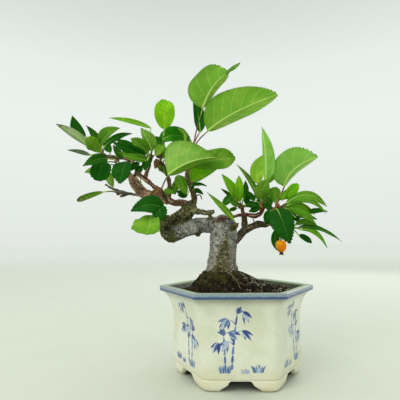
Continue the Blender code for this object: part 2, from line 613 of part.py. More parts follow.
# Shoots: name, twig, further stem places, then leaves. A leaf's row has its base, middle and tip as x, z
# and depth, the seen widths of its left and right halves, its roll at base and tip in degrees, whether its
# underside faces the front, its fold, where it is widest, how blunt it is, and which stem place bears it.
SHOOTS = [
    ("crown_shoot", "crown_twig", [(-31.6, 169.5, 4)], [
        ((-23.4, 200.5, 0), (-15.5, 218, -6), (-2, 231.6, -10), 21, 4.2, (-14, 10), 1, 24, 0.42, 8.0),
        ((-4.5, 230, -10), (1.5, 234, -11), (7.4, 238.6, -12), 1.7, 1.7, (20, 60), 0, 10, 0.5, 2.0),
        ((-19.6, 182, 0), (3, 197.2, -9), (36.6, 211, -14), 21.5, 6.6, (-10, 0), 1, 16, 0.4, -1.7),
        ((-25.4, 181, 12), (-27.4, 198, 17), (-30.6, 216, 16), 4.0, 6, (8, 8), 0, 14, 0.3, 2.0),
    ]),
    ("petal_shoot", "petal_twig", [(-56.2, 136.4, -19)], [
        ((-51.6, 147, -25), (-33, 157.6, -31), (-12, 160.4, -26), 21, 4.5, (-10, 6), 1, 22, 0.3, 1.9),
        ((-58.0, 134.6, -18), (-61.4, 133.6, -17), (-65.0, 130.6, -15), 2.2, 2.4, (0, 0), 0, 18, 0.45, 2.0),
    ]),
    ("inner_shoot", "inner_twig", [(-31.4, 142.4, -6)], [
        ((-36, 155.6, -12), (-16, 158.4, -17), (2.0, 159.4, -18), 8.2, 7.6, (8, -6), 0, 12, 0.62, 2.8),
        ((-33.2, 141.2, -6), (-22.5, 146.5, -10), (-11, 152.4, -10), 11, 2.2, (0, 10), 0, 14, 0.3, 2.0),
        ((-43.6, 147, -6), (-40, 139, -10), (-36.6, 131, -12), 4, 5, (10, 10), 0, 20, 0.4, 2.0),
        ((-33, 137.6, -11), (-27.5, 139.2, -14), (-20.8, 137.8, -14), 1.8, 1.8, (30, 30), 0, 20, 0.4, 1.8),
        ((-31, 135.6, -4), (-27.2, 133.8, -6), (-23.6, 131.2, -6), 1.9, 1.7, (0, 0), 0, 15, 0.4, 1.8),
    ]),
    ("tall_leaf_shoot", "bud_twig", [(-57.5, 157.4, 7)], [
        ((-54.2, 184.2, 4), (-54.4, 196.5, 2), (-55.4, 209.4, 3), 7.8, 8.8, (6, 0), 0, 10, 0.56, 3.2),
        ((-57.5, 174, 16), (-46, 179.4, 20), (-33, 174, 20), 7.5, 7, (6, 0), 0, 14, 0.45, 2.2),
        ((-38, 173, 12), (-38.4, 180.6, 12), (-43.6, 184.6, 11), 2.0, 2.2, (10, 10), 1, 10, 0.6, 3.0),
        ((-55.4, 166.6, 1), (-59.6, 170.2, -2), (-65.6, 170.6, -3), 3.0, 2.6, (0, 0), 1, 14, 0.45, 2.0),
        ((-55.0, 169.5, 9), (-58.6, 174.4, 10), (-64.0, 178.0, 10), 3.2, 3.6, (0, 0), 0, 14, 0.45, 2.0),
        ((-60.0, 158.6, 14), (-56.2, 155.0, 14), (-52.2, 150.6, 13), 2.6, 2.6, (10, 10), 0, 20, 0.4, 2.0),
        ((-59.0, 159.8, 1), (-61.0, 156.6, -2), (-61.6, 152.4, -3), 2.6, 2.8, (20, 50), 0, 26, 0.5, 2.4),
        ((-58.4, 160.8, -2), (-58.2, 163.4, -6), (-57.0, 166.6, -7), 2.8, 2.8, (-30, 10), 0, 26, 0.5, 2.4),
    ]),
    ("cluster_shoot", "cluster_twig", [(-64.8, 163.4, -2)], [
        ((-63.8, 166.4, -7), (-67.6, 175, -12), (-73.4, 185.8, -12), 3.6, 6.6, (0, 8), 1, 18, 0.5, 2.0),
        ((-67.2, 165, -10), (-73.6, 171.6, -17), (-81.2, 177.4, -18), 4.6, 5.2, (0, 0), 0, 18, 0.45, 2.0),
        ((-69, 162.4, -12), (-81, 167.6, -21), (-96.5, 174.9, -24), 4.2, 4.2, (0, 0), 0, 20, 0.4, 1.9),
        ((-66.4, 160.6, -8), (-68.6, 156.4, -12), (-69.8, 151.2, -13), 3.6, 3.6, (0, 0), 0, 20, 0.4, 1.9),
        ((-64.8, 185.4, 2), (-79.6, 191.2, -6), (-99.4, 195, -16), 2.0, 2.2, (20, 10), 0, 20, 0.5, 1.9),
        ((-74.6, 166.2, 5), (-84.0, 171.6, 10), (-93.1, 176.6, 12), 3.6, 4.0, (0, 0), 0, 18, 0.45, 1.9),
        ((-70.4, 160.4, -5), (-81.0, 164.2, -10), (-91.9, 166.4, -13), 2.4, 2.4, (0, 0), 0, 18, 0.4, 1.9),
    ]),
    ("left_tip_shoot", "left_limb", [(-99.5, 162.4, 2), (-104.6, 164.8, 1)], [
        ((-115, 171.6, -6), (-128.4, 182.2, -15), (-143, 190.8, -24), 2.8, 4.0, (0, 0), 1, 16, 0.45, 1.8),
        ((-118, 178.6, 7), (-124.6, 187.6, 8), (-129.6, 197.6, 6), 6.2, 3.2, (0, 0), 0, 14, 0.4, 1.9),
        ((-113.4, 164.2, 3), (-122.6, 167.4, 2), (-133, 169.0, -3), 1.8, 2.0, (20, 20), 0, 18, 0.4, 1.8),
        ((-108.4, 166.6, -9), (-112.2, 173.4, -17), (-118.4, 178.6, -20), 5.2, 5.6, (0, 0), 0, 16, 0.5, 2.4),
        ((-107, 170.4, 12), (-110.2, 179.8, 15), (-118, 189, 14), 3.4, 3.4, (0, 0), 0, 16, 0.4, 1.8),
        ((-105.4, 171.6, -10), (-101, 180.2, -19), (-90.4, 186.2, -25), 5.8, 3.0, (-8, 0), 0, 18, 0.45, 1.9),
        ((-102.8, 171.2, 2), (-92.6, 178.8, -1), (-80, 181.4, -4), 2.6, 3.4, (0, 0), 0, 20, 0.4, 1.8),
        ((-97.4, 166.0, 7), (-99.8, 170.4, 12), (-103.6, 174.6, 14), 3.4, 3.4, (0, 0), 0, 18, 0.45, 2, 2),
    ]),
    ("hanging_shoot", "low_left_limb", [(-83.6, 151.2, 10), (-86.4, 155.6, 8)], [
        ((-100, 161.4, -12), (-109, 160.4, -20), (-119.6, 155.6, -24), 4.6, 4.4, (0, 0), 0, 18, 0.4, 1.8),
        ((-102.6, 159.4, -8), (-105.6, 151.6, -13), (-107.6, 143.4, -13), 8.0, 7.0, (8, 8), 0, 12, 0.4, 5.0),
        ((-85.0, 158.8, -7), (-87.6, 150.2, -13), (-89.6, 140.8, -14), 7.4, 8.2, (-6, -6), 0, 16, 0.42, 2.4),
        ((-99.6, 150.6, 4), (-97.8, 144.8, 2), (-94.8, 138, -2), 3.4, 3.4, (0, 0), 1, 16, 0.4, 1.9),
        ((-106.4, 155.2, 8), (-112, 152.6, 9), (-118, 150.6, 8), 2.6, 2.6, (0, 0), 1, 16, 0.5, 2.0),
    ]),
    ("single_leaf", "leaf_spur", [(-92.0, 134.0, 10)], [
        ((-102.6, 134.4, 9), (-112.6, 131.8, 5), (-123.6, 127.4, -1), 2.3, 2.5, (0, 0), 0, 16, 0.7, 5.0),
    ]),
    ("elbow_shoot", "elbow_twig", [(-56.0, 118.4, -19)], [
        ((-55.4, 120.8, -22), (-66.4, 123.6, -29), (-80.4, 118.8, -30), 6.2, 6.8, (0, -10), 0, 14, 0.42, 1.8),
        ((-56.6, 114.8, -18), (-60.0, 113.0, -20), (-64.4, 111.2, -19), 2.6, 2.4, (0, 0), 0, 16, 0.45, 2.0),
        ((-64.4, 115.2, -22), (-65.8, 109.4, -31), (-67.6, 100.4, -39), 8.2, 11.0, (0, 0), 0, 12, 0.78, 5.0),
    ]),
    ("shoulder_leaf", "shoulder_twig", [(1.0, 108.2, -15)], [
        ((-0.6, 111.4, -17), (-8.6, 121.2, -20), (-21, 133, -20), 2.4, 2.6, (20, 20), 0, 20, 0.4, 1.7),
    ]),
    ("upright_shoot", "upright_twig", [(5.2, 121.8, -2)], [
        ((2.6, 125, -5), (-1.4, 135, -11), (-9, 147, -12), 3.0, 4.2, (0, 0), 0, 18, 0.5, 1.9),
        ((4.6, 125, -7), (4.8, 135, -15), (4.4, 145.6, -17), 3.8, 2.8, (0, 0), 0, 18, 0.5, 2.4),
        ((7.4, 127.4, 3), (9.0, 134, 6), (9.2, 141.6, 6), 2.4, 2.8, (0, 0), 0, 18, 0.5, 2.0),
        ((0, 126.4, 1), (-4.4, 131.4, 2), (-10, 135.6, 2), 1.5, 1.5, (0, 0), 0, 18, 0.45, 1.8),
        ((-1.6, 129.6, -12), (-4.8, 126.6, -17), (-8.8, 122, -18), 3.0, 3.0, (0, 0), 0, 18, 0.5, 2.4),
        ((2.6, 120, 3), (-1.0, 119.4, 6), (-4.8, 118.2, 7), 1.7, 1.7, (0, 0), 0, 18, 0.4, 1.8),
        ((8.8, 122.2, -6), (14, 123, -10), (20.2, 120.8, -11), 2.6, 2.6, (0, 0), 0, 18, 0.45, 1.9),
    ]),
    ("tall_right_shoot", "across_twig", [(22.6, 122.4, -2)], [
        ((24.6, 139.6, -9), (25.6, 160, -14), (23.2, 185, -12), 2.2, 8.0, (-10, 0), 1, 16, 0.4, 2.0),
        ((20.8, 139, 4), (18.4, 149.4, 6), (24.4, 162.0, 8), 5.6, 5.4, (0, 0), 0, 14, 0.45, 2.2),
        ((24.4, 139, 0), (29.0, 145.4, -2), (33.6, 152, -4), 3.4, 4.0, (0, 0), 0, 14, 0.5, 2.2),
        ((18.0, 128.6, 10), (12.6, 142, 13), (2.2, 155, 12), 2.0, 2.6, (0, 0), 0, 18, 0.4, 1.7),
        ((21.0, 126.4, -11), (22.0, 133.8, -19), (27.0, 141.8, -22), 5.6, 5.2, (0, 0), 0, 14, 0.5, 2.4),
        ((16.6, 125.4, 2), (13.0, 129.6, 3), (9.0, 133.6, 3), 2.6, 2.4, (0, 0), 0, 18, 0.5, 2.0),
    ]),
    ("front_right_shoot", "right_limb", [(32.6, 121.8, 2), (35.2, 127.2, 0), (37.6, 132.6, -3)], [
        ((39.4, 136.2, -6), (47.6, 150.2, -14), (66, 159.4, -20), 15.6, 3.6, (-10, 0), 1, 18, 0.5, 2.8),
        ((38.6, 126.6, -3), (43.8, 132.2, -8), (50.0, 138.6, -12), 3.8, 3.8, (0, 0), 0, 14, 0.62, 3.2, 3),
        ((32.0, 123.4, 10), (31.8, 129.6, 14), (31.6, 136.4, 15), 5.0, 4.6, (0, 0), 0, 14, 0.6, 4.0, 2),
    ]),
    ("fan_shoot", "fan_twig", [(36.0, 120.8, -4)], [
        ((39.6, 122.8, -9), (56.0, 129.8, -18), (70.8, 120.5, -16), 2.9, 4.6, (6, 0), 0, 22, 0.5, 1.9),
        ((40.0, 121.0, -4), (56.0, 125.2, -7), (70.0, 115.2, -7), 2.4, 2.4, (20, 20), 0, 22, 0.45, 1.8),
        ((39.6, 119.0, -9), (50.2, 118.6, -17), (60.8, 110.8, -20), 2.9, 3.6, (0, 0), 0, 20, 0.45, 1.9),
        ((54.4, 114.8, 4), (62.0, 117.6, 6), (71.4, 116.6, 5), 2.0, 2.4, (0, 0), 0, 20, 0.45, 1.8),
        ((46.4, 112.4, 0), (54.6, 113.2, -1), (63, 110.6, -3), 1.7, 1.7, (0, 0), 0, 20, 0.5, 2.6),
    ]),
    ("low_right_shoot", "low_right_twig", [(44.4, 103.8, 7)], [
        ((48.0, 104.2, 2), (63, 103.6, -6), (80.6, 93.8, -10), 2.6, 2.4, (40, 40), 0, 20, 0.45, 1.7),
        ((50.4, 102.8, 9), (61, 100.8, 9), (69.6, 89, 6), 2.2, 2.2, (10, 10), 0, 20, 0.45, 1.7),
        ((48.6, 98.8, 12), (53.0, 97.0, 13), (58.2, 92.8, 12), 2.4, 2.4, (0, 0), 0, 16, 0.55, 3.2),
        ((47.2, 106.8, 0), (54.6, 108.4, -4), (62.8, 106, -6), 1.7, 1.7, (0, 0), 0, 20, 0.5, 2.6),
    ]),
    ("draping_shoot", "drape_twig", [(31.2, 119.2, -12)], [
        ((33.0, 119.0, -17), (37.2, 108.4, -25), (41.8, 92.5, -25), 7.8, 9.4, (0, 0), 0, 14, 0.42, 2.1),
        ((28.2, 117.6, -13), (25.6, 113.6, -15), (24.4, 107.6, -15), 3.2, 3.2, (0, 0), 0, 16, 0.45, 2.2),
        ((28.6, 121.2, -9), (27.0, 124.8, -8), (26.0, 128.6, -6), 2.8, 2.8, (0, 0), 0, 16, 0.45, 2.2),
    ]),
    ("back_leaf_shoot", "fruit_twig", [(35.0, 103.6, -5)], [
        ((32.2, 103.4, 0), (30.8, 96.0, 1), (32, 87.6, 0), 3.4, 3.4, (0, 0), 0, 16, 0.5, 2.2),
    ]),
]

# The fruit
FRUIT = (35.1, 90.8, -9)
FRUIT_R = 3.9
FRUIT_HALF_HEIGHT = 4.8
FRUIT_SIDES = 12
FRUIT_RINGS = 8
CALYX_LOBES = 5


def make_fruit(skin):
    """A small pome with its calyx below, and the stalk that hangs it."""
    centre = seen(FRUIT)
    rings = []
    for k in range(1, FRUIT_RINGS):
        angle = math.pi * k / FRUIT_RINGS
        r = FRUIT_R * math.sin(angle) ** 0.9
        z = -FRUIT_HALF_HEIGHT * math.cos(angle)
        ring = []
        for j in range(FRUIT_SIDES):
            turn = math.tau * j / FRUIT_SIDES
            ring.append(centre + Vector((r * math.cos(turn), r * math.sin(turn), z)))
        rings.append(ring)
    fruit = outward(solid("fruit", *loft(rings), skin))
    pieces = []
    for k in range(CALYX_LOBES):
        turn = math.tau * k / CALYX_LOBES
        out = Vector((math.cos(turn), math.sin(turn), 0))
        low = centre - Vector((0, 0, FRUIT_HALF_HEIGHT - 0.8))
        line = [low, low + out * 0.7 - Vector((0, 0, 1.3)), low + out * 1.3 - Vector((0, 0, 2.2))]
        pieces.append(outward(solid("calyx", *tube(line, [0.75, 0.6, 0.4], 5))))
    top = centre + Vector((0, 0, FRUIT_HALF_HEIGHT - 1.2))
    line = [top, top + Vector((0.2, 0.4, 4)), top + Vector((0.0, 1.6, 8.4))]
    pieces.append(outward(solid("stalk", *tube(line, [0.7, 0.6, 0.6], 6))))
    return shade_round(cut_or_join(fruit, pieces, "UNION"), BARK_SHARP)


def centre_on_base(things):
    """Moves everything together so that the middle of the whole object's base is the origin."""
    low = [min(point.co[axis] for thing in things for point in thing.data.vertices) for axis in range(3)]
    high = [max(point.co[axis] for thing in things for point in thing.data.vertices) for axis in range(3)]
    move = Vector((-(low[0] + high[0]) / 2, -(low[1] + high[1]) / 2, -low[2]))
    for thing in things:
        for point in thing.data.vertices:
            point.co += move
    print("moved by", [round(value / MM, 2) for value in move])
    print("size", [round((high[axis] - low[axis]) / MM, 1) for axis in range(3)])


def main():
    """Every piece, each under its own name and with its own finish."""
    clear_scene()
    made = [
        make_pot(material("cream_glaze", (0.70, 0.68, 0.50), 0.25)),
        make_screen(material("screen_plastic", (0.02, 0.02, 0.02), 0.6)),
        make_soil(material("dark_earth", (0.03, 0.02, 0.015), 0.95)),
        make_trunk(material("bark", (0.23, 0.22, 0.18), 0.9)),
    ]
    for k, (name, limb, stem, leaves) in enumerate(SHOOTS):
        green = material(name + "_green", (0.10 + 0.015 * (k % 3), 0.36 - 0.03 * (k % 4), 0.04), 0.5)
        made.append(leafy_shoot(name, limb, stem, leaves, green))
    made.append(make_fruit(material("fruit_skin", (0.80, 0.30, 0.02), 0.35)))
    centre_on_base(made)
    total = 0
    for thing in made:
        count = sum(len(face.vertices) - 2 for face in thing.data.polygons)
        total += count
        print(thing.name, count)
    print("triangles", total)


main()
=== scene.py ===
# %% [markdown]
# A crabapple bonsai in a hexagonal pot, dressed over its finished solids.
# The solids give every piece its place and size. This notebook gives each one its real surface: a crackled
# cream glaze with blue brushwork, crumbly dark soil, grey bark with moss, serrated leaves with their veins,
# and one orange fruit. Everything shares the frame of the solids, in metres, so nothing is fitted.

# %% Load the frame
import math
import random

import bmesh
import bpy
import numpy as np
from mathutils import Matrix, Vector, noise
from mathutils.bvhtree import BVHTree


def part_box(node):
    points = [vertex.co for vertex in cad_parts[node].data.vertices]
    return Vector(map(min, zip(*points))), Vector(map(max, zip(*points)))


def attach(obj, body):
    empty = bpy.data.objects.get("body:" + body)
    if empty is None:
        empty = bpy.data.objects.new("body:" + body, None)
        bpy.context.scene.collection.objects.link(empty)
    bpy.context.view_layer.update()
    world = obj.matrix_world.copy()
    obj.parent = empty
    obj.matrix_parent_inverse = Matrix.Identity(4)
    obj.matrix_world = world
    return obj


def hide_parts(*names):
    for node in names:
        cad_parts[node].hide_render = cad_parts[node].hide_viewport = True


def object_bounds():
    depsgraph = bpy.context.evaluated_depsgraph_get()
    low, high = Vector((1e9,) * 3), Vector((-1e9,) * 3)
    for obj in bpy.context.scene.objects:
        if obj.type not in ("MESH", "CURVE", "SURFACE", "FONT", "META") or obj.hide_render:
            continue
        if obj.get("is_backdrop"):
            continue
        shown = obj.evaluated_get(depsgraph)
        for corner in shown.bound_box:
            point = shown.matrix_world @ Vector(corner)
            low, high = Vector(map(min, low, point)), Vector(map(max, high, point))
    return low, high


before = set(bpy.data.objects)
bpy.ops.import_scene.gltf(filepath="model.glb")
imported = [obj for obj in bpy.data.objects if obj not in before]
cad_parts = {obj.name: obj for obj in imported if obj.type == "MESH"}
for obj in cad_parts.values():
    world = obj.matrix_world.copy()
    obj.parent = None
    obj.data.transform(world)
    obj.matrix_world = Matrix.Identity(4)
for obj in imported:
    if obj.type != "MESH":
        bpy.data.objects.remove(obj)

BOX_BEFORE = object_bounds()
MM = 0.001
POT_LOW, POT_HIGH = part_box("pot")
HOME = np.array([(POT_LOW.x + POT_HIGH.x) / 2, (POT_LOW.y + POT_HIGH.y) / 2, POT_LOW.z]) / MM
print("pot's middle at", np.round(HOME, 2), "mm")

# %% [markdown]
# The camera comes first, because the tree was measured through it. It stands close, a little left of the
# pot and 93 mm above the table, and looks slightly up. Its place counts from the pot's middle.

# %% Camera
def into_scene(name, data):
    """A new object in the scene."""
    made = bpy.data.objects.new(name, data)
    bpy.context.scene.collection.objects.link(made)
    return made


FRAME_PIXELS = 400
FOCAL_PIXELS = 365.3
EYE = np.array([-14.4, -282.3, 93.0])
YAW, PITCH, ROLL = (math.radians(angle) for angle in (-2.41, 6.85, -0.54))
ahead = Vector((math.sin(YAW) * math.cos(PITCH), math.cos(YAW) * math.cos(PITCH), math.sin(PITCH)))
level = Vector((math.cos(YAW), -math.sin(YAW), 0))
upright = level.cross(ahead)
right = level * math.cos(ROLL) + upright * math.sin(ROLL)
up = upright * math.cos(ROLL) - level * math.sin(ROLL)
camera = into_scene("camera", bpy.data.cameras.new("camera"))
camera.data.lens = FOCAL_PIXELS / FRAME_PIXELS * camera.data.sensor_width
camera.data.clip_start = 0.01
turned = Matrix((right, up, -ahead)).transposed().to_4x4()
camera.matrix_world = Matrix.Translation(Vector((EYE + HOME) * MM)) @ turned
bpy.context.scene.camera = camera
print("lens", round(camera.data.lens, 2), "mm")

# %% [markdown]
# Light for a plant portrait is soft and comes from all round, with one large panel high in front on the
# left, so that leaves glow and the trunk still turns from light to shade. The sky is a plain pale wall that
# ends in a bright ceiling.

# %% Light
def tint(red, green, blue):
    """A display colour, 0 to 255, as the linear colour that shaders use."""
    return (*(math.pow(channel / 255, 2.2) for channel in (red, green, blue)), 1.0)


def panel(name, place, aim, size, power, colour=(1, 1, 1)):
    """A square area light that looks at a point; places are metres from the pot's middle."""
    lamp = into_scene(name, bpy.data.lights.new(name, "AREA"))
    lamp.data.size = size
    lamp.data.energy = power
    lamp.data.color = colour
    lamp.location = Vector(HOME * MM) + Vector(place)
    lamp.rotation_mode = "QUATERNION"
    lamp.rotation_quaternion = (Vector(aim) - Vector(place)).to_track_quat("-Z", "Y")


HORIZON = tint(226, 232, 225)
OVERHEAD = (1.28, 1.31, 1.27, 1.0)
panel("key_panel", (-0.55, -0.80, 0.90), (0, 0, 0.10), 0.6, 4.6, (1.0, 0.985, 0.95))
panel("back_panel", (0.45, 0.75, 0.60), (0, 0, 0.14), 0.6, 1.6)
world = bpy.data.worlds.new("studio")
bpy.context.scene.world = world
world.use_nodes = True
sky_nodes = world.node_tree.nodes
sky_links = world.node_tree.links
direction = sky_nodes.new("ShaderNodeTexCoord")
parts = sky_nodes.new("ShaderNodeSeparateXYZ")
ramp = sky_nodes.new("ShaderNodeValToRGB")
ramp.color_ramp.elements[0].color = HORIZON
ramp.color_ramp.elements[1].color = OVERHEAD
for height, tone in ((0.30, tint(235, 241, 236)), (0.44, tint(231, 237, 232)), (0.60, tint(208, 215, 208))):
    stop = ramp.color_ramp.elements.new(height)
    stop.color = tone
sky_links.new(direction.outputs["Generated"], parts.inputs["Vector"])
sky_links.new(parts.outputs["Z"], ramp.inputs["Fac"])
sky_links.new(ramp.outputs["Color"], sky_nodes["Background"].inputs["Color"])
sky_nodes["Background"].inputs["Strength"].default_value = 1.0
bpy.context.scene.view_settings.view_transform = "Standard"
print("tones in the sky", len(ramp.color_ramp.elements))

# %% [markdown]
# A finish is a small graph of nodes. This helper adds a node, joins sockets to its inputs or sets their
# values, and returns one output, so that a whole finish reads as a few lines. Patterns are measured in
# millimetres on the object itself, so they stay put from every side.

# %% Node helpers
class Graph:
    """Adds nodes to a tree and joins them."""

    def __init__(self, tree):
        self.tree = tree

    def add(self, kind, inputs=None, out=0, **settings):
        made = self.tree.nodes.new(kind)
        for name, value in settings.items():
            setattr(made, name, value)
        for key, value in (inputs or {}).items():
            if isinstance(value, bpy.types.NodeSocket):
                self.tree.links.new(value, made.inputs[key])
            else:
                made.inputs[key].default_value = value
        return made.outputs[out]

    def calc(self, operation, *values):
        return self.add("ShaderNodeMath", dict(enumerate(values)), operation=operation)

    def blend(self, share, a, b, mode="MIX"):
        return self.add("ShaderNodeMix", {0: share, 6: a, 7: b}, 2, data_type="RGBA", blend_type=mode)

    def ease(self, value, low, high, to_low=0.0, to_high=1.0):
        limits = {0: value, 1: low, 2: high, 3: to_low, 4: to_high}
        return self.add("ShaderNodeMapRange", limits, interpolation_type="SMOOTHSTEP")

    def clouds(self, place, scale, detail=3.0, rough=0.55, out=0):
        inputs = {"Vector": place, "Scale": scale, "Detail": detail, "Roughness": rough}
        return self.add("ShaderNodeTexNoise", inputs, out)

    def cells(self, place, scale, feature="F1", out=0):
        return self.add("ShaderNodeTexVoronoi", {"Vector": place, "Scale": scale}, out, feature=feature)

    def note(self, name, out="Fac"):
        return self.add("ShaderNodeAttribute", out=out, attribute_name=name)

    def uneven_note(self, place, name, scale, reach, low=0.3, rough=0.55):
        """A stored number that wanders up and down by a reach."""
        wander = self.ease(self.clouds(place, scale, 3.0, rough), low, 1 - low, -reach, reach)
        return self.calc("ADD", self.note(name), wander)

    def times(self, colour, share):
        """A colour made lighter or darker by a share."""
        return self.filtered(colour, self.add("ShaderNodeCombineColor", {0: share, 1: share, 2: share}))

    def filtered(self, colour, other):
        return self.blend(1.0, colour, other, "MULTIPLY")

    def graded(self, value, first, *steps):
        """A colour that turns to the next one as a number passes each step: low, high, colour."""
        colour = tint(*first)
        for low, high, after in steps:
            colour = self.blend(self.ease(value, low, high), colour, tint(*after))
        return colour

    def shift(self, place, scale, reach):
        """A place moved about by noise, to make a pattern less regular."""
        wander = self.add("ShaderNodeTexNoise", {"Vector": place, "Scale": scale}, "Color")
        centred = self.add("ShaderNodeVectorMath", {0: wander, 1: (0.5, 0.5, 0.5)}, operation="SUBTRACT")
        scaled = self.add("ShaderNodeVectorMath", {0: centred, "Scale": reach}, operation="SCALE")
        return self.add("ShaderNodeVectorMath", {0: place, 1: scaled}, operation="ADD")


COAT_ROUGHNESS = 0.12


def new_finish(name, roughness, gloss=0.5, coat=0.0):
    """A material with its graph, its shader and the place on the object in millimetres."""
    made = bpy.data.materials.new(name)
    made.use_nodes = True
    shader = made.node_tree.nodes["Principled BSDF"]
    shader.inputs["Roughness"].default_value = roughness
    shader.inputs["Specular IOR Level"].default_value = gloss
    if coat:
        shader.inputs["Coat Weight"].default_value = coat
        shader.inputs["Coat Roughness"].default_value = COAT_ROUGHNESS
    graph = Graph(made.node_tree)
    metres = graph.add("ShaderNodeTexCoord", out="Object")
    place = graph.add("ShaderNodeVectorMath", {0: metres, "Scale": 1 / MM}, operation="SCALE")
    return made, graph, shader, place


def feed(graph, shader, **sockets):
    """Joins sockets to the shader's inputs, named with spaces as underscores."""
    for name, value in sockets.items():
        graph.tree.links.new(value, shader.inputs[name.replace("_", " ")])


def bump(graph, height, depth_mm, strength=1.0):
    return graph.add("ShaderNodeBump", {"Height": height, "Distance": depth_mm * MM, "Strength": strength})


def height_above_table(graph, place):
    return graph.add("ShaderNodeSeparateXYZ", {0: place}, "Z")


# %% [markdown]
# The floor is one big sheet of pale paper. It only has to receive the pot's soft shadow, and it grows paler
# with distance, so that it melts into the background as a curved studio sheet does.

# %% Floor
floor_finish, graph, shader, place = new_finish("floor_paper", 0.85)
behind = graph.add("ShaderNodeSeparateXYZ", {0: place}, "Y")
paper = graph.blend(graph.ease(behind, -250.0, 2600.0), tint(203, 208, 193), tint(231, 236, 231))
fibre = graph.ease(graph.clouds(place, 0.02), 0.3, 0.7, 0.0, 0.25)
feed(graph, shader, Base_Color=graph.blend(fibre, paper, tint(214, 216, 204)))
floor_mesh = bpy.data.meshes.new("floor")
REACH = 30.0
corners = [(-REACH, -REACH, 0), (REACH, -REACH, 0), (REACH, REACH, 0), (-REACH, REACH, 0)]
floor_mesh.from_pydata(corners, [], [(0, 1, 2, 3)])
floor_mesh.materials.append(floor_finish)
floor = into_scene("floor", floor_mesh)
floor.location.z = POT_LOW.z
floor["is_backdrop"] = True
print("floor", 2 * REACH, "m wide")

# %% [markdown]
# Every piece of the tree is a mesh whose points are worked out in millimetres from the pot's middle, then
# moved to the frame. Numbers that a finish needs, such as how mossy a place is, are stored on its points.

# %% Mesh helpers
def new_piece(name, points, faces, material=None, edges=()):
    """A smooth mesh from points in millimetres."""
    mesh = bpy.data.meshes.new(name)
    mesh.from_pydata(((np.asarray(points, float) + HOME) * MM).tolist(), edges, faces)
    if material is not None:
        mesh.materials.append(material)
    mesh.polygons.foreach_set("use_smooth", [True] * len(mesh.polygons))
    return into_scene(name, mesh)


def paint(piece, name, values):
    """Stores one number, or one colour, for each point."""
    values = np.asarray(values, np.float32)
    kind, field = ("FLOAT", "value") if values.ndim == 1 else ("FLOAT_COLOR", "color")
    piece.data.attributes.new(name, kind, "POINT").data.foreach_set(field, values.ravel())


def turn_outward(piece, join_mm=0.0):
    """Joins doubled points if asked and points every face outwards."""
    work = bmesh.new()
    work.from_mesh(piece.data)
    if join_mm:
        bmesh.ops.remove_doubles(work, verts=work.verts, dist=join_mm * MM)
    bmesh.ops.recalc_face_normals(work, faces=work.faces)
    work.to_mesh(piece.data)
    work.free()


def set_in_frame(piece, slot, *nodes):
    """The piece rides on the one body and stands for its solids; the slot is not used."""
    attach(piece, "root")
    if nodes:
        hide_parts(*nodes)
    print(piece.name, sum(len(face.vertices) - 2 for face in piece.data.polygons), "triangles")


def smooth_line(rows, step):
    """A smooth curve through rows of numbers, the first three a place, with a row every step."""
    rows = np.asarray(rows, float)
    gaps = np.linalg.norm(np.diff(rows[:, :3], axis=0), axis=1)
    at = np.concatenate([[0], np.cumsum(gaps)])
    slope = np.gradient(rows, at, axis=0)
    want = np.linspace(0, at[-1], max(3, int(at[-1] / step) + 2))
    i = np.clip(np.searchsorted(at, want, side="right") - 1, 0, len(gaps) - 1)
    h = gaps[i][:, None]
    t = ((want - at[i]) / gaps[i])[:, None]
    start = (2 * t**3 - 3 * t**2 + 1) * rows[i] + (t**3 - 2 * t**2 + t) * h * slope[i]
    return start + (3 * t**2 - 2 * t**3) * rows[i + 1] + (t**3 - t**2) * h * slope[i + 1]


def closed_loft(rings, joined_ends=False):
    """Faces between rings of equal length; the ends are capped, or joined to each other."""
    count = len(rings[0])
    faces = []
    for i in range(len(rings) if joined_ends else len(rings) - 1):
        low = i * count
        high = (i + 1) % len(rings) * count
        for k in range(count):
            n = (k + 1) % count
            faces.append((low + k, low + n, high + n, high + k))
    if not joined_ends:
        faces.append(tuple(range(count))[::-1])
        faces.append(tuple(range((len(rings) - 1) * count, len(rings) * count)))
    return np.concatenate(rings), faces


def pile_up(points, faces, made, joined):
    """Adds one mesh's points and faces to a pile of several."""
    first = len(points)
    points.extend(made)
    faces.extend(tuple(n + first for n in face) for face in joined)


# %% [markdown]
# The pot is pressed and fired clay under a thick cream glaze. On a real one the rim's edge is banded in
# cobalt blue. Its six walls follow one rule: a hexagon with rounded corners, drawn out and in along a
# profile. Each point of the ring is a fixed mix of a corner radius and a rounding, so a whole ring is one
# line of arithmetic, and the foot openings only lift the lowest rings near the middle of each side.

# %% Pot: the ring
SIDES = 6
FLAT_SHARES = np.array([
    0, 1.6, 3.2, 4.6, 5.6, 5.9, 6.3, 6.8, 7.3, 7.8, 8.8, 9.8, 10.8, 11.8, 12.7, 13.6, 15.0, 16.5,
])
FOOT_HALF_FLAT = 17.8
CORNER_BENDS = np.radians(np.linspace(-30, 30, 9))
ring_out = []
ring_round = []
ring_across = []
for k in range(SIDES):
    turn = math.tau * k / SIDES
    for bend in CORNER_BENDS:
        ring_out.append((math.cos(turn), math.sin(turn)))
        ring_round.append((math.cos(turn + bend), math.sin(turn + bend)))
        ring_across.append(FOOT_HALF_FLAT)
    side = turn + math.pi / SIDES
    straight = np.array([math.cos(side), math.sin(side)])
    along = np.array([-math.sin(side), math.cos(side)])
    for across in np.concatenate([-FLAT_SHARES[:0:-1], FLAT_SHARES]):
        ring_out.append(straight * math.cos(math.pi / SIDES) + along * across / FOOT_HALF_FLAT / 2)
        ring_round.append(straight)
        ring_across.append(across)
ring_out = np.array(ring_out)
ring_round = np.array(ring_round)
ring_across = np.abs(np.array(ring_across))
ring_angle = np.arctan2(*(ring_out * 40 + ring_round * 7).T[::-1])


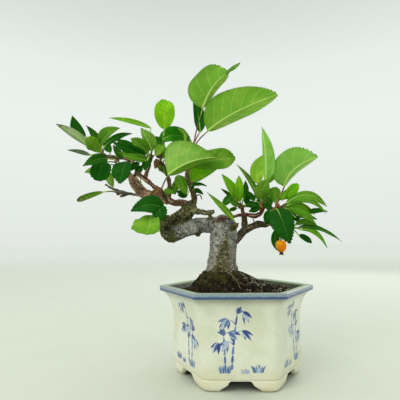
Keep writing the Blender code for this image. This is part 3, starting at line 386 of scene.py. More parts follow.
def ring(corner_r, z, rounding):
    """One ring of the pot; corner radius and height may differ from point to point."""
    corner_r = np.broadcast_to(corner_r, ring_angle.shape)[:, None]
    flat = (corner_r - rounding) * ring_out + rounding * ring_round
    return np.column_stack([flat, np.broadcast_to(z, ring_angle.shape)])


def round_ring(radius, z):
    flat = radius * np.column_stack([np.cos(ring_angle), np.sin(ring_angle)])
    return np.column_stack([flat, np.full(ring_angle.shape, z)])


print("points in a ring", len(ring_angle))

# %% Pot: the profile
FOOT_PROFILE_Z = [0.0, 0.8, 3.0, 6.9, 7.25, 7.6, 7.95, 8.2]
FOOT_PROFILE_R = [42.6, 44.2, 45.6, 45.9, 45.9, 45.25, 45.9, 46.0]
OPENING_ACROSS = [5.8, 6.8, 7.8, 9.8, 11.8, 13.6]
OPENING_TOP = [7.15, 6.0, 4.2, 2.9, 1.6, 0.0]
SKIRT_TOP = 7.3
SKIRT_STEPS = [0, 0.03, 0.08, 0.16, 0.3, 0.5, 0.7, 0.85, 1.0]
WALL = [
    (46.0, 8.2, 0, 8.0), (46.6, 12.0, 0, 8.0), (46.8, 16.0, 0, 8.0), (46.8, 28.0, 0, 8.0),
    (46.8, 40.0, 0, 8.0), (47.7, 46.0, 0, 7.0), (49.1, 50.5, 0, 6.0), (51.4, 54.6, 0, 4.5),
    (54.2, 57.2, 0, 3.0), (56.5, 58.2, 0, 2.2),
]
RIM = [
    (57.2, 58.55, 2.1), (57.45, 58.9, 2.0), (57.5, 59.4, 2.0), (57.5, 60.3, 2.0), (57.5, 61.2, 2.0),
    (57.42, 61.6, 2.0), (57.15, 61.95, 2.0), (56.7, 62.1, 2.2), (54.6, 62.15, 3.0), (52.4, 62.1, 3.8),
    (51.1, 61.95, 4.3), (50.5, 61.6, 4.5),
]
INSIDE = [(50.2, 61.0, 0, 4.5), (46.6, 57.4, 0, 4.6), (43.6, 52.0, 0, 5.0), (42.2, 46.0, 0, 5.0)]
FLOOR_RINGS = [(42.0, 18.0, 5.0), (40.8, 15.0, 5.0), (38.2, 12.8, 5.0)]
DRAIN = [(6.6, 12.8), (6.0, 12.3), (6.0, 8.7), (6.6, 8.2)]
UNDERSIDE = [(34.4, 8.2, 5.0), (35.3, 8.0, 5.0)]

foot_edge = np.interp(ring_across, OPENING_ACROSS, OPENING_TOP)
foot_edge[ring_across >= OPENING_ACROSS[-1]] = 0.0
skirt_span = SKIRT_TOP - foot_edge
edge_round = np.minimum(0.9, 0.4 * skirt_span)


def skirt_ring(step, profile, inward, rounding):
    """A ring between the foot's lower edge and the skirt's top, eased inwards at its rounded lower edge."""
    z = foot_edge + step * skirt_span
    drop = np.clip(1 - (z - foot_edge) / edge_round, 0, 1)
    ease = edge_round * (1 - np.sqrt(1 - drop**2))
    return ring(profile(z) + inward * ease, z, rounding)


def outer_foot(z):
    return np.interp(z, FOOT_PROFILE_Z, FOOT_PROFILE_R)


def inner_foot(z):
    return np.interp(z, [0, 8.2], [36.3, 35.5])


rings = [skirt_ring(step, outer_foot, -1, 7.0) for step in SKIRT_STEPS]
rings += [ring(r, z, 7.4) for r, z in zip(FOOT_PROFILE_R[5:7], FOOT_PROFILE_Z[5:7])]
rings += [ring(r, z, rounding) for r, z, _, rounding in smooth_line(WALL, 1.3)]
rim_start = len(rings)
rings += [ring(*row) for row in RIM]
rings += [ring(r, z, rounding) for r, z, _, rounding in smooth_line(INSIDE, 1.6)]
rings += [ring(*row) for row in FLOOR_RINGS]
rings += [round_ring(*row) for row in DRAIN]
rings += [ring(*row) for row in UNDERSIDE]
rings += [skirt_ring(step, inner_foot, 1, 5.0) for step in SKIRT_STEPS[::-1]]
print("rings in the pot", len(rings))

# %% [markdown]
# A hand-finished pot is never quite true. A slow wander of two tenths of a millimetre in its walls is
# enough to break up the reflections. The feet stay flat, so that it stands as the solid does.

# %% Pot: the body
WANDER = 0.22
points, faces = closed_loft(rings, joined_ends=True)
for point in points:
    if point[2] > 9:
        drift = noise.noise(Vector(point) * 0.045) + 0.5 * noise.noise(Vector(point) * 0.13)
        point[:2] *= 1 + WANDER * drift / max(20.0, math.hypot(point[0], point[1]))
pot = new_piece("pot_body", points, faces)
turn_outward(pot)
corner = np.array([one[4] for one in rings])
walked = np.concatenate([[0], np.cumsum(np.linalg.norm(np.diff(corner, axis=0), axis=1))])
RIM_TOP_ROW = 6
rim_edge = walked[rim_start + RIM_TOP_ROW]
paint(pot, "below_rim", np.repeat(rim_edge - walked, len(ring_angle)))

# %% [markdown]
# Crackle is a net of hairlines in the glaze, stained brown with age. Cell noise gives such a net: the
# distance to the nearest cell wall is small along the lines. Slow noise makes warm clouds, and the glaze
# turns to a warmer beige low down, where tea-coloured water has run. Painted shade darkens it under the
# rim's overhang. Inside, it turns grey-green at the lip and dark olive on the wall: painted shade together
# with dirt and soil stain.

# %% Glaze
def glaze(graph, place):
    """The cream colour and the crackle's height."""
    cream = graph.graded(graph.clouds(place, 0.045, 4.0), (233, 234, 217), (0.35, 0.65, (218, 220, 196)))
    low = graph.ease(height_above_table(graph, place), 20.0, 4.0)
    stain = graph.calc("MULTIPLY", low, graph.ease(graph.clouds(place, 0.09, 4.0), 0.3, 0.7, 0.25, 0.8))
    cream = graph.blend(stain, cream, tint(234, 226, 190))
    bent = graph.shift(place, 0.25, 2.6)
    wide = graph.ease(graph.cells(bent, 0.2, "DISTANCE_TO_EDGE"), 0.0, 0.03, 1.0, 0.0)
    fine = graph.ease(graph.cells(bent, 0.5, "DISTANCE_TO_EDGE"), 0.0, 0.045, 0.5, 0.0)
    net = graph.calc("MAXIMUM", wide, fine)
    patchy = graph.calc("MULTIPLY", net, graph.ease(graph.clouds(place, 0.06), 0.4, 0.65, 0.04, 0.26))
    return graph.blend(patchy, cream, tint(176, 164, 124)), net


glaze_finish, graph, shader, place = new_finish("cream_glaze", 0.24, coat=0.2)
cream, net = glaze(graph, place)
below_rim = graph.note("below_rim")
wobble = graph.calc("ADD", below_rim, graph.calc("MULTIPLY", graph.clouds(place, 0.35, 2.0), 0.7))
band = graph.calc("MULTIPLY", graph.ease(wobble, 0.15, 0.7), graph.ease(wobble, 4.0, 3.7))
blue = graph.graded(graph.clouds(place, 0.9, 4.0, 0.7), (112, 132, 144), (0.3, 0.7, (150, 166, 172)))
blue = graph.blend(graph.ease(wobble, 1.6, 3.0), blue, tint(50, 76, 132))
pooled = graph.ease(wobble, 0.9, 0.4, 0.0, 0.5)
blue = graph.blend(pooled, blue, tint(70, 84, 138))
# painted shade: the cream darkens just under the rim's overhang
shaded = graph.ease(below_rim, 3.8, 14.0, 0.42, 1.0)
cream = graph.times(cream, shaded)
# painted shade with some dirt: just inside the rim's top edge the glaze turns grey-green
cream = graph.blend(graph.ease(below_rim, -0.1, -1.2, 0.0, 0.95), cream, tint(146, 168, 136))
# painted shade with soil stain: deep inside, the inner wall turns dark olive
inner_wall_shade = graph.graded(graph.clouds(place, 0.2, 4.0), (68, 72, 34), (0.35, 0.65, (42, 44, 18)))
cream = graph.blend(graph.ease(below_rim, -6.0, -8.0), cream, inner_wall_shade)
feed(graph, shader, Base_Color=graph.blend(band, cream, blue))
feed(graph, shader, Normal=bump(graph, graph.calc("ADD", net, graph.clouds(place, 0.5)), 0.03, 0.35))
feed(graph, shader, Roughness=graph.ease(below_rim, -0.2, -2.0, 0.24, 0.75))
pot.data.materials.append(glaze_finish)
set_in_frame(pot, "pot", "pot")

# %% [markdown]
# The walls carry a plain brushed pattern of bamboo and grass in two blues, as common underglaze ware has.
# A brush stroke is a ribbon with a pointed end. It is drawn flat, as places across a side and above the
# table, then each point is dropped on the glaze along a ray, so the paint follows the wall.

# %% Brushwork: strokes
wall_tree = BVHTree.FromObject(pot, bpy.context.evaluated_depsgraph_get())
PAINT_LIFT = 0.03
ACROSS = np.array([-1.0, -0.55, 0.0, 0.55, 1.0])
stroke_points = []
stroke_faces = []
stroke_tone = []
stroke_edge = []


def brush_share(t, blunt_start):
    """How wide a stroke is at t, as a share: it swells from its start and thins out to its end."""
    swell = blunt_start + (1 - blunt_start) * math.sin(math.pi / 2 * min(1, t / 0.35))
    return max(0.06, swell * (1 - (max(0, t - 0.35) / 0.65) ** 1.6))


def stroke(side, line, width, tone, blunt_start=0.0):
    """A brush stroke on one side along places (across, height), widest width, tone 0 pale to 1 dark."""
    angle = math.tau * (side + 0.5) / SIDES
    out = Vector((math.cos(angle), math.sin(angle), 0))
    along = Vector((-math.sin(angle), math.cos(angle), 0))
    rows = smooth_line([(a, z, 0.0) for a, z in line], 0.45)[:, :2]
    heading = np.gradient(rows, axis=0)
    heading /= np.linalg.norm(heading, axis=1)[:, None]
    first = len(stroke_points)
    lift = PAINT_LIFT + 0.002 * (first % 7)
    for i, (place_flat, ahead_flat) in enumerate(zip(rows, heading)):
        half = width / 2 * brush_share(i / (len(rows) - 1), blunt_start)
        for share in ACROSS:
            a = place_flat[0] - ahead_flat[1] * half * share
            z = place_flat[1] + ahead_flat[0] * half * share
            start = out * 90 + along * a + Vector((0, 0, z)) + Vector(HOME)
            hit, normal, _, _ = wall_tree.ray_cast(start * MM, -out)
            stroke_points.append(hit / MM + normal * lift - Vector(HOME))
            stroke_tone.append(tone)
            stroke_edge.append(abs(share))
    for i in range(len(rows) - 1):
        for j in range(len(ACROSS) - 1):
            a = first + i * len(ACROSS) + j
            stroke_faces.append((a, a + 1, a + 1 + len(ACROSS), a + len(ACROSS)))


def tuft(side, across, height, size, rng, blades=9):
    """Short grass strokes that fan out from one root, over a few broad pale ones."""
    for k in range(blades + 3):
        wash = k < 3
        lean = (k - 1) * 0.6 if wash else ((k - 3) / (blades - 1) - 0.5) * 1.8 + rng.uniform(-0.12, 0.12)
        tall = size * rng.uniform(0.6, 1.0) * (1 - 0.3 * abs(lean))
        root = across + lean * size * 0.5 + rng.uniform(-0.2, 0.2)
        middle = (root + lean * tall * 0.16, height + tall * 0.5)
        tip = (root + lean * tall * 0.5, height + tall)
        width = 2.2 if wash else rng.uniform(0.6, 0.95)
        tone = -0.25 if wash else rng.uniform(0.35, 0.95)
        stroke(side, [(root, height), middle, tip], width, tone, 0.7)


def leaf_spray(side, root, heading, rng, count=3, size=7.4):
    """Lance-shaped leaves that hang from the end of a branch, over one pale wash."""
    far = (root[0] + size * math.cos(heading), root[1] + size * math.sin(heading))
    stroke(side, [root, ((root[0] + far[0]) / 2, (root[1] + far[1]) / 2), far], 4.2, -0.32, 0.3)
    for k in range(count):
        turn = heading + (k - (count - 1) / 2) * rng.uniform(0.42, 0.6)
        length = size * rng.uniform(0.75, 1.1)
        tip = (root[0] + length * math.cos(turn), root[1] + length * math.sin(turn) - 0.12 * length)
        middle = ((root[0] + tip[0]) / 2, (root[1] + tip[1]) / 2 + 0.08 * length)
        stroke(side, [root, middle, tip], rng.uniform(1.7, 2.5), rng.uniform(0.45, 1.3), 0.25)


def cane(side, across, low, lean, joints, rng, width=1.75):
    """A jointed cane, drawn upwards piece by piece, with branches and leaves at some joints."""
    a, z = across, low
    for k in range(joints):
        length = 4.2 + 0.45 * k
        a_next = a + lean * length * (0.6 + 0.14 * k)
        top = z + length
        joint = [(a, z), ((a + a_next) / 2, z + length / 2), (a_next, top)]
        stroke(side, joint, width - 0.09 * k, 0.30 + 0.4 * (k % 2), 0.95)
        collar = [(a_next - 1.0, top + 0.32), (a_next, top + 0.1), (a_next + 1.1, top + 0.36)]
        stroke(side, collar, 0.5, 1.0, 0.5)
        if k >= 2:
            hand = 1 if (k + side) % 2 else -1
            reach = rng.uniform(3.0, 5.0)
            end = (a_next + hand * reach, top + reach * rng.uniform(0.3, 0.7))
            bow = ((a_next + end[0]) / 2, (top + end[1]) / 2 + 0.5)
            stroke(side, [(a_next, top), bow, end], 0.5, 0.8, 0.8)
            leaf_spray(side, end, -math.pi / 2 + hand * rng.uniform(0.5, 0.9), rng, rng.choice([3, 3, 4]))
        a, z = a_next, top + 0.45
    leaf_spray(side, (a, z), math.pi / 2 - 0.5 * (1 if lean > 0 else -1), rng, 3, 5.0)


# %% Brushwork: the six sides
brush_rng = random.Random(21)
for side in range(SIDES):
    hand = 1 if side % 2 == 0 else -1
    cane(side, -5.5 * hand, 14.6, 0.13 * hand, 6, brush_rng)
    cane(side, -9.5 * hand, 14.2, -0.05 * hand, 4, brush_rng, 1.4)
    tuft(side, -10.0 * hand, 12.2, 6.6, brush_rng, 14)
    tuft(side, 11.0 * hand, 12.6, 6.2, brush_rng, 13)
    tuft(side, 3.0 * hand, 12.0, 3.8, brush_rng, 8)

ink_finish, graph, shader, place = new_finish("brushed_cobalt", 0.24, coat=0.35)
tone = graph.uneven_note(place, "tone", 1.6, 0.32, 0.25, 0.65)
blue = graph.graded(tone, (186, 198, 210), (-0.45, 0.25, (104, 134, 184)), (0.25, 1.1, (28, 54, 130)))
blue = graph.blend(graph.ease(graph.note("edge"), 0.55, 1.0, 0.0, 0.25), blue, tint(90, 114, 160))
feed(graph, shader, Base_Color=blue)
brushwork = new_piece("pot_brushwork", stroke_points, stroke_faces, ink_finish)
paint(brushwork, "tone", stroke_tone)
paint(brushwork, "edge", stroke_edge)
set_in_frame(brushwork, "pot")

# %% [markdown]
# The soil is a hand-pressed mound of dark compost, a little dry and mossy on top. Its big form is the rule
# of the solid: level at the wall, rising round the trunk. Fine noise roughens it, and crumbs lie over it.

# %% Soil: the bed
SOIL_EDGE = 57.4
MOUND_RISE = 15.2
MOUND_X = -10.0
MOUND_FLAT = 7.5
MOUND_FALLS = (14.1, 24.5)
MOUND_STEEPS = (3.0, 1.7)
SOIL_SINK = [(37.8, 13.6, 5.0), (40.4, 15.2, 5.0), (41.6, 18.2, 5.0), (41.8, 46.0, 5.0), (43.2, 52.0, 5.0)]


def soil_height(x, y):
    """The soil's top above the table."""
    far = math.hypot(x - MOUND_X, y)
    lean = 0.5 + 0.5 * (x - MOUND_X) / max(far, 1e-6)
    reach = MOUND_FALLS[0] * (1 - lean) + MOUND_FALLS[1] * lean
    fall = max(0.0, far - MOUND_FLAT) / reach
    steep = MOUND_STEEPS[0] * (1 - lean) + MOUND_STEEPS[1] * lean
    return SOIL_EDGE + MOUND_RISE * math.exp(-fall**steep)


def roughened(x, y):
    spot = Vector((x, y, 0))
    clods = noise.fractal(spot * 0.28, 0.9, 2.1, 4)
    grit = noise.noise(spot * 1.9)
    return 0.95 * clods + 0.3 * grit


soil_rings = [ring(*row) for row in SOIL_SINK]
edge_ring = ring(46.3, SOIL_EDGE, 4.6)
for share in np.concatenate([[1.0], np.linspace(0.985, 0.03, 46)]):
    one = edge_ring.copy()
    one[:, 0] = MOUND_X * (1 - share) + edge_ring[:, 0] * share
    one[:, 1] *= share
    one[:, 2] = [soil_height(x, y) + roughened(x, y) * min(1, (1 - share) * 14 + 0.2) for x, y in one[:, :2]]
    soil_rings.append(one)
points, faces = closed_loft(soil_rings)
soil = new_piece("soil_bed", points, faces)
turn_outward(soil)

# %% Soil: finish
def earth_colour(graph, place, grain):
    """Dark compost, rusty in patches, and mossy close round the trunk."""
    base = graph.graded(grain, (14, 11, 6), (0.3, 0.75, (48, 38, 20)))
    rust = graph.ease(graph.clouds(place, 0.26, 5.0, 0.7), 0.54, 0.62, 0.0, 0.5)
    base = graph.blend(rust, base, tint(84, 60, 30))
    root = (HOME[0] + MOUND_X - 4, HOME[1] - 6, HOME[2] + SOIL_EDGE + MOUND_RISE)
    far = graph.add("ShaderNodeVectorMath", {0: place, 1: root}, "Value", operation="DISTANCE")
    near = graph.ease(far, 26.0, 12.0, 0.0, 0.16)
    damp = graph.calc("ADD", graph.clouds(place, 0.2, 5.0, 0.7), near)
    moss = graph.ease(damp, 0.57, 0.64, 0.0, 0.8)
    return graph.blend(moss, base, tint(72, 68, 30))


earth_finish, graph, shader, place = new_finish("dark_compost", 0.95, 0.2)
grain = graph.clouds(place, 1.4, 5.0, 0.7)
feed(graph, shader, Base_Color=earth_colour(graph, place, grain), Normal=bump(graph, grain, 0.5))
soil.data.materials.append(earth_finish)
set_in_frame(soil, "soil", "soil")

# %% [markdown]
# Crumbs are the same small lump many times over, turned and sized at random. Geometry Nodes does that:
# it drops points on the top of the bed, puts a lump on each and stores a random number for its colour.
# The tree is built here in code, and it ends as a plain mesh.

# %% Geometry Nodes helpers
def geometry_tree(name, inputs):
    """A new tree with named inputs, its graph and its ends; inputs are name, socket kind and value."""
    tree = bpy.data.node_groups.new(name, "GeometryNodeTree")
    tree.interface.new_socket("Geometry", in_out="INPUT", socket_type="NodeSocketGeometry")
    tree.interface.new_socket("Geometry", in_out="OUTPUT", socket_type="NodeSocketGeometry")
    for label, kind, value in inputs:
        made = tree.interface.new_socket(label, in_out="INPUT", socket_type=kind)
        if value is not None:
            made.default_value = value
    start = tree.nodes.new("NodeGroupInput")
    end = tree.nodes.new("NodeGroupOutput")
    return tree, Graph(tree), start.outputs, end.inputs


def close_tree(graph, geometry, material, end):
    """Ends a tree with real meshes instead of instances, in their finish."""
    real = graph.add("GeometryNodeRealizeInstances", {0: geometry})
    dressed = graph.add("GeometryNodeSetMaterial", {"Geometry": real, "Material": material})
    graph.tree.links.new(dressed, end["Geometry"])


def run_tree(piece, tree, **values):
    """Runs a tree on a piece with some inputs changed, and keeps the result as the piece's plain mesh."""
    step = piece.modifiers.new(tree.name, "NODES")
    step.node_group = tree
    for item in tree.interface.items_tree:
        if item.item_type == "SOCKET" and item.in_out == "INPUT" and item.name in values:
            step[item.identifier] = values[item.name]
    bpy.context.view_layer.update()
    graph_now = bpy.context.evaluated_depsgraph_get()
    mesh = bpy.data.meshes.new_from_object(piece.evaluated_get(graph_now))
    piece.modifiers.clear()
    piece.data = mesh
    return piece


# %% [markdown]
# The tree drops lumps where a mask stored on the surface allows. A power of the random draw makes most
# of them small, as in sieved soil.

# %% Scatter tree
scatter, graph, start, end = geometry_tree("scatter_lumps", [
    ("Density", "NodeSocketFloat", 1.0), ("Smallest", "NodeSocketFloat", 0.5),
    ("Largest", "NodeSocketFloat", 1.0), ("Seed", "NodeSocketInt", 0), ("Mask", "NodeSocketFloat", 0.5),
    ("Lump", "NodeSocketFloat", 1.0), ("Material", "NodeSocketMaterial", None),
])
TUMBLE = 3.0
SMALL_ONES = 2.6
mask = graph.add("GeometryNodeInputNamedAttribute", {"Name": "scatter"}, "Attribute", data_type="FLOAT")
dropped = graph.tree.nodes.new("GeometryNodeDistributePointsOnFaces")
graph.tree.links.new(graph.calc("GREATER_THAN", mask, start["Mask"]), dropped.inputs["Selection"])
for key, label in {"Mesh": "Geometry", "Density": "Density", "Seed": "Seed"}.items():
    graph.tree.links.new(start[label], dropped.inputs[key])
lump = graph.add("GeometryNodeMeshIcoSphere", {"Radius": start["Lump"], "Subdivisions": 1})
turns = {0: (-TUMBLE, -TUMBLE, 0.0), 1: (TUMBLE, TUMBLE, math.tau), "Seed": start["Seed"]}
spin = graph.add("FunctionNodeRandomValue", turns, 0, data_type="FLOAT_VECTOR")
spin = graph.add("FunctionNodeEulerToRotation", {0: spin})
both = {0: dropped.outputs["Rotation"], 1: spin}
turned = graph.add("FunctionNodeRotateRotation", both, rotation_space="LOCAL")
draw = graph.add("FunctionNodeRandomValue", {2: 0.0, 3: 1.0, "Seed": start["Seed"]}, 1, data_type="FLOAT")
spread = graph.calc("SUBTRACT", start["Largest"], start["Smallest"])
size = graph.calc("MULTIPLY_ADD", graph.calc("POWER", draw, SMALL_ONES), spread, start["Smallest"])
lumps = {"Points": dropped.outputs["Points"], "Instance": lump, "Rotation": turned, "Scale": size}
placed = graph.add("GeometryNodeInstanceOnPoints", lumps)
chance = graph.add("FunctionNodeRandomValue", {2: 0.0, 3: 1.0}, 1, data_type="FLOAT")
told = {"Geometry": placed, "Name": "chance", "Value": chance}
stored = graph.add("GeometryNodeStoreNamedAttribute", told, data_type="FLOAT", domain="INSTANCE")
close_tree(graph, stored, start["Material"], end)
print("nodes in the scatter tree", len(scatter.nodes))

# %% Soil: crumbs
crumb_finish, graph, shader, place = new_finish("soil_crumbs", 0.95, 0.25)
chance = graph.note("chance")
earth = earth_colour(graph, place, chance)
grey = graph.ease(chance, 0.86, 0.90)
east = graph.ease(graph.add("ShaderNodeSeparateXYZ", {0: place}, "X"), HOME[0] - 2, HOME[0] + 14, 0.1, 0.8)
earth = graph.blend(graph.calc("MULTIPLY", grey, east), earth, tint(158, 154, 138))
feed(graph, shader, Base_Color=graph.blend(graph.ease(chance, 0.0, 0.5, 0.7, 0.0), earth, tint(12, 9, 6)))
crumbs = new_piece("soil_crumbs", points, faces)
turn_outward(crumbs)
top_share = np.array([point[2] > SOIL_EDGE - 1.5 for point in points], float)
paint(crumbs, "scatter", top_share)
sizes = {"Lump": MM, "Smallest": 0.2, "Largest": 1.35}
run_tree(crumbs, scatter, Density=820000.0, Seed=4, Mask=0.9, Material=crumb_finish, **sizes)
set_in_frame(crumbs, "soil")

# %% [markdown]
# A trained crabapple trunk is smooth grey bark with knots, old cuts and creeping moss. Tubes along the
# measured limbs give its form. They are melted into one skin by a voxel remesh, which also rounds the
# crotches where limbs meet, as growth does. Each row has x and z as seen from the front, depth and radius.

# %% Trunk: measured limbs
def seen(place):
    """The true place of something read from the front on the plane through the pot's middle."""
    x, z, depth = place[:3]
    spread = 1.0 - depth / EYE[1]
    return np.array([EYE[0] + (x - EYE[0]) * spread, depth, EYE[2] + (z - EYE[2]) * spread])


TRUNK = [
    (-9.5, 38.0, 2, 5.0), (-9.5, 44.0, 2, 9.0), (-10.0, 52.0, 1, 12.0), (-10.2, 62.0, 0, 13.0),
    (-10.3, 69.0, 0, 12.3), (-10.2, 74.0, 0, 11.3), (-10.1, 80.6, 0, 10.4), (-9.4, 88.0, 0, 10.1),
    (-8.5, 96.0, 0, 10.5), (-8.1, 103.0, 0, 10.2), (-8.4, 108.0, 0, 9.6), (-9.2, 111.8, 0, 7.4),
    (-9.8, 113.8, 0, 3.6),
]
ROOTS = [
    [(-12, 56, -4, 5.5), (-19, 50, -11, 4.2), (-25, 43, -17, 3.0), (-27, 34, -19, 1.6)],
    [(-6, 56, -5, 5.5), (4, 49, -13, 4.2), (13, 42, -19, 3.0), (19, 33, -21, 1.6)],
    [(-14, 55, 6, 5.5), (-20, 47, 14, 4.0), (-24, 38, 21, 2.8), (-26, 29, 23, 1.6)],
    [(-4, 55, 6, 5.5), (6, 48, 13, 4.2), (15, 39, 18, 2.8), (21, 30, 19, 1.6)],
]
LIMBS = {
    "level_limb": [
        (-8, 107.4, 0, 6.6), (-17, 107.4, -1, 6.2), (-24, 107.3, -2, 6.2), (-30, 106.1, -3, 6.6),
        (-35, 105.1, -4, 5.9), (-40, 103.6, -5, 5.9), (-44.5, 102.6, -6, 6.7), (-48.4, 102.7, -7, 7.6),
        (-50.8, 106.0, -7, 7.0), (-52.4, 110.0, -7, 5.8), (-53.2, 113.5, -7, 3.8),
    ],
    "rising_limb": [
        (-50, 105.5, -6, 7.0), (-45.5, 109.6, -6, 6.8), (-41.0, 113.2, -5, 6.0),
        (-37.0, 116.8, -4, 5.6), (-34.2, 120.6, -3, 5.0), (-33.4, 124.0, -2, 3.8), (-33.2, 126.2, -2, 2.0),
    ],
    "crown_twig": [
        (-34.5, 120, -3, 3.2), (-31.2, 125, 0, 2.5), (-31.3, 131, 3, 2.1), (-34.2, 139, 5, 1.9),
        (-36.2, 147, 6, 1.7), (-34.5, 156, 6, 1.6), (-32.8, 163, 5, 1.5),
    ],
    "cut_stub": [
        (-33, 118.5, -6, 2.6), (-26, 117.7, -8, 2.2), (-20.5, 116.8, -9, 1.9), (-15.6, 117.7, -10, 1.8),
    ],
    "left_limb": [
        (-35, 123, -3, 3.0), (-40.5, 124.8, -5, 2.6), (-46, 125.0, -7, 2.4), (-51, 127.2, -9, 2.5),
        (-55.5, 132.6, -10, 2.0), (-60, 136.4, -10, 1.8), (-64.5, 139.9, -9, 1.8), (-70.5, 145.3, -7, 1.8),
        (-75, 148.4, -5, 1.6), (-76.9, 154.5, -2, 1.4), (-80.5, 159.4, 1, 1.3), (-87.5, 161.4, 3, 1.2),
        (-93.5, 162.0, 3, 1.2),
    ],
    "cluster_twig": [
        (-70, 144.6, -7, 1.6), (-67.6, 151.2, -4, 1.4), (-66, 156.5, -2, 1.3), (-65.2, 159.4, -1, 1.3),
    ],
    "low_left_limb": [
        (-51, 126, -8, 2.6), (-57.5, 128.8, -5, 3.3), (-63.5, 130.4, -2, 3.8), (-69.6, 132.2, 2, 4.1),
        (-75.0, 137.4, 5, 4.1), (-78.4, 142.8, 7, 3.9), (-80.4, 146.8, 8, 3.1),
    ],
    "thin_twig": [
        (-67, 131.6, 0, 1.5), (-73, 131.3, 2, 1.2), (-81, 132.6, 3, 1.1), (-89, 134.6, 3, 1.1),
        (-96.2, 137.3, 3, 1.0), (-101.3, 140.6, 3, 0.8),
    ],
    "thin_spur": [(-82, 132.8, 3, 1.0), (-86.0, 131.6, 1, 1.0), (-89.4, 130.5, -1, 0.8)],
    "leaf_spur": [(-82.5, 132.9, 3, 1.0), (-85.2, 133.0, 6, 0.9), (-87.4, 133.2, 8, 0.9)],
    "bud_twig": [
        (-51.3, 127.5, -9, 1.9), (-50, 134.5, -4, 1.8), (-50.4, 141.5, 1, 1.6), (-52.4, 148.5, 5, 1.5),
        (-56.0, 153.6, 7, 1.5),
    ],
    "petal_twig": [(-51, 127.0, -9, 1.9), (-54.6, 130.6, -14, 1.5), (-56.4, 133.6, -17, 1.3)],
    "inner_twig": [(-33.5, 137.0, 5, 1.6), (-31.9, 138.6, 1, 1.3), (-31.3, 139.6, -2, 1.2)],
    "elbow_twig": [(-53, 111.5, -8, 2.2), (-54.6, 115.2, -13, 1.7), (-55.6, 117.0, -16, 1.5)],
    "shoulder_twig": [(-4, 104, -6, 2.2), (-0.6, 105.2, -10.5, 1.7), (0.9, 106.0, -13, 1.4)],
    "across_twig": [
        (-14, 110, -5, 1.6), (-10.5, 112.2, -10, 1.4), (-5, 112.7, -11, 1.3), (1.6, 114.2, -9, 1.3),
        (9, 115.1, -6, 1.4), (15.5, 114.0, -4, 1.7), (20.6, 116.2, -3, 1.6), (22.2, 119.2, -2, 1.4),
    ],
    "right_limb": [
        (-4, 92, 0, 3.4), (1.2, 95.8, 1, 3.1), (4.4, 99.2, 2, 2.9), (8.2, 103.2, 2, 2.9),
        (12.2, 105.2, 2, 2.6), (18.2, 107.6, 2, 2.6), (24.5, 107.6, 2, 2.3), (29.6, 109.8, 2, 2.0),
        (31.6, 113.8, 2, 1.8), (31.8, 117.8, 2, 1.6),
    ],
    "upright_twig": [
        (8.2, 103.4, 2, 2.8), (7.9, 109.5, 2, 2.3), (7.2, 115.5, 1, 1.8), (6.3, 119.0, 0, 1.3),
    ],
    "low_right_twig": [(30, 109.6, 2, 1.7), (35.4, 107.6, 5, 1.4), (40.6, 105.2, 7, 1.3)],
    "fruit_twig": [(31.6, 111.6, 2, 1.5), (34.2, 108.8, -2, 1.1), (35.2, 105.6, -5, 0.9)],
    "fan_twig": [(31.4, 112.6, 2, 1.6), (33.4, 115.8, 0, 1.4), (34.8, 118.4, -2, 1.3)],
    "drape_twig": [(30.4, 110.4, 2, 1.5), (30.6, 114.0, -4, 1.3), (31.0, 116.6, -8, 1.2)],
}
print(len(LIMBS), "limbs and twigs")

# %% [markdown]
# Knots are short stubs left by old cuts. The colours are read by limb: grey on the old trunk, lavender
# grey along the level limb, red-brown on young twigs and olive where moss has taken hold.

# %% Trunk: knots and bark colours
KNOTS = [
    ([(-28.8, 104, -5, 3.0), (-28.4, 100.8, -5.6, 2.8), (-28.2, 99.4, -5.8, 1.8)], (58, 54, 36)),
    ([(-3.5, 73, -3, 3.2), (0.6, 74.6, -4, 2.4), (1.6, 75.4, -4, 1.4)], (128, 126, 100)),
    ([(-17, 110, -6, 2.6), (-18.6, 113.6, -7.5, 2.0), (-19, 114.6, -8, 1.2)], (112, 110, 78)),
    ([(-6, 92, -8, 2.8), (-3.6, 92.6, -10.4, 2.0), (-3.2, 92.8, -11, 1.2)], (140, 138, 112)),
    ([(-47, 98, -9, 3.2), (-47.8, 95.6, -10, 2.4), (-48, 94.8, -10, 1.4)], (70, 70, 42)),
    ([(-38, 111, 1, 3.0), (-37.4, 112.4, 5.4, 2.4), (-37.2, 113, 6.4, 1.2)], (92, 94, 58)),
]
BARK_TONES = {
    "trunk": (152, 151, 142), "level_limb": (152, 152, 144), "rising_limb": (140, 141, 108),
    "crown_twig": (112, 100, 72), "cut_stub": (130, 128, 96), "left_limb": (136, 100, 84),
    "cluster_twig": (108, 84, 66), "low_left_limb": (184, 146, 120), "thin_twig": (134, 124, 112),
    "thin_spur": (112, 102, 86), "leaf_spur": (112, 102, 86), "bud_twig": (98, 80, 58),
    "petal_twig": (92, 86, 54), "inner_twig": (88, 80, 54), "elbow_twig": (92, 88, 54),
    "shoulder_twig": (92, 98, 56), "across_twig": (110, 68, 56), "right_limb": (84, 80, 64),
    "upright_twig": (98, 88, 64), "low_right_twig": (88, 78, 54), "fruit_twig": (92, 88, 50),
    "fan_twig": (92, 86, 54), "drape_twig": (88, 84, 54), "root": (96, 80, 60),
}
MOSSY = {
    "rising_limb": 0.7, "crown_twig": 0.35, "cut_stub": 0.45, "left_limb": 0.3, "low_left_limb": 0.4,
    "right_limb": 0.45, "upright_twig": 0.5,
}


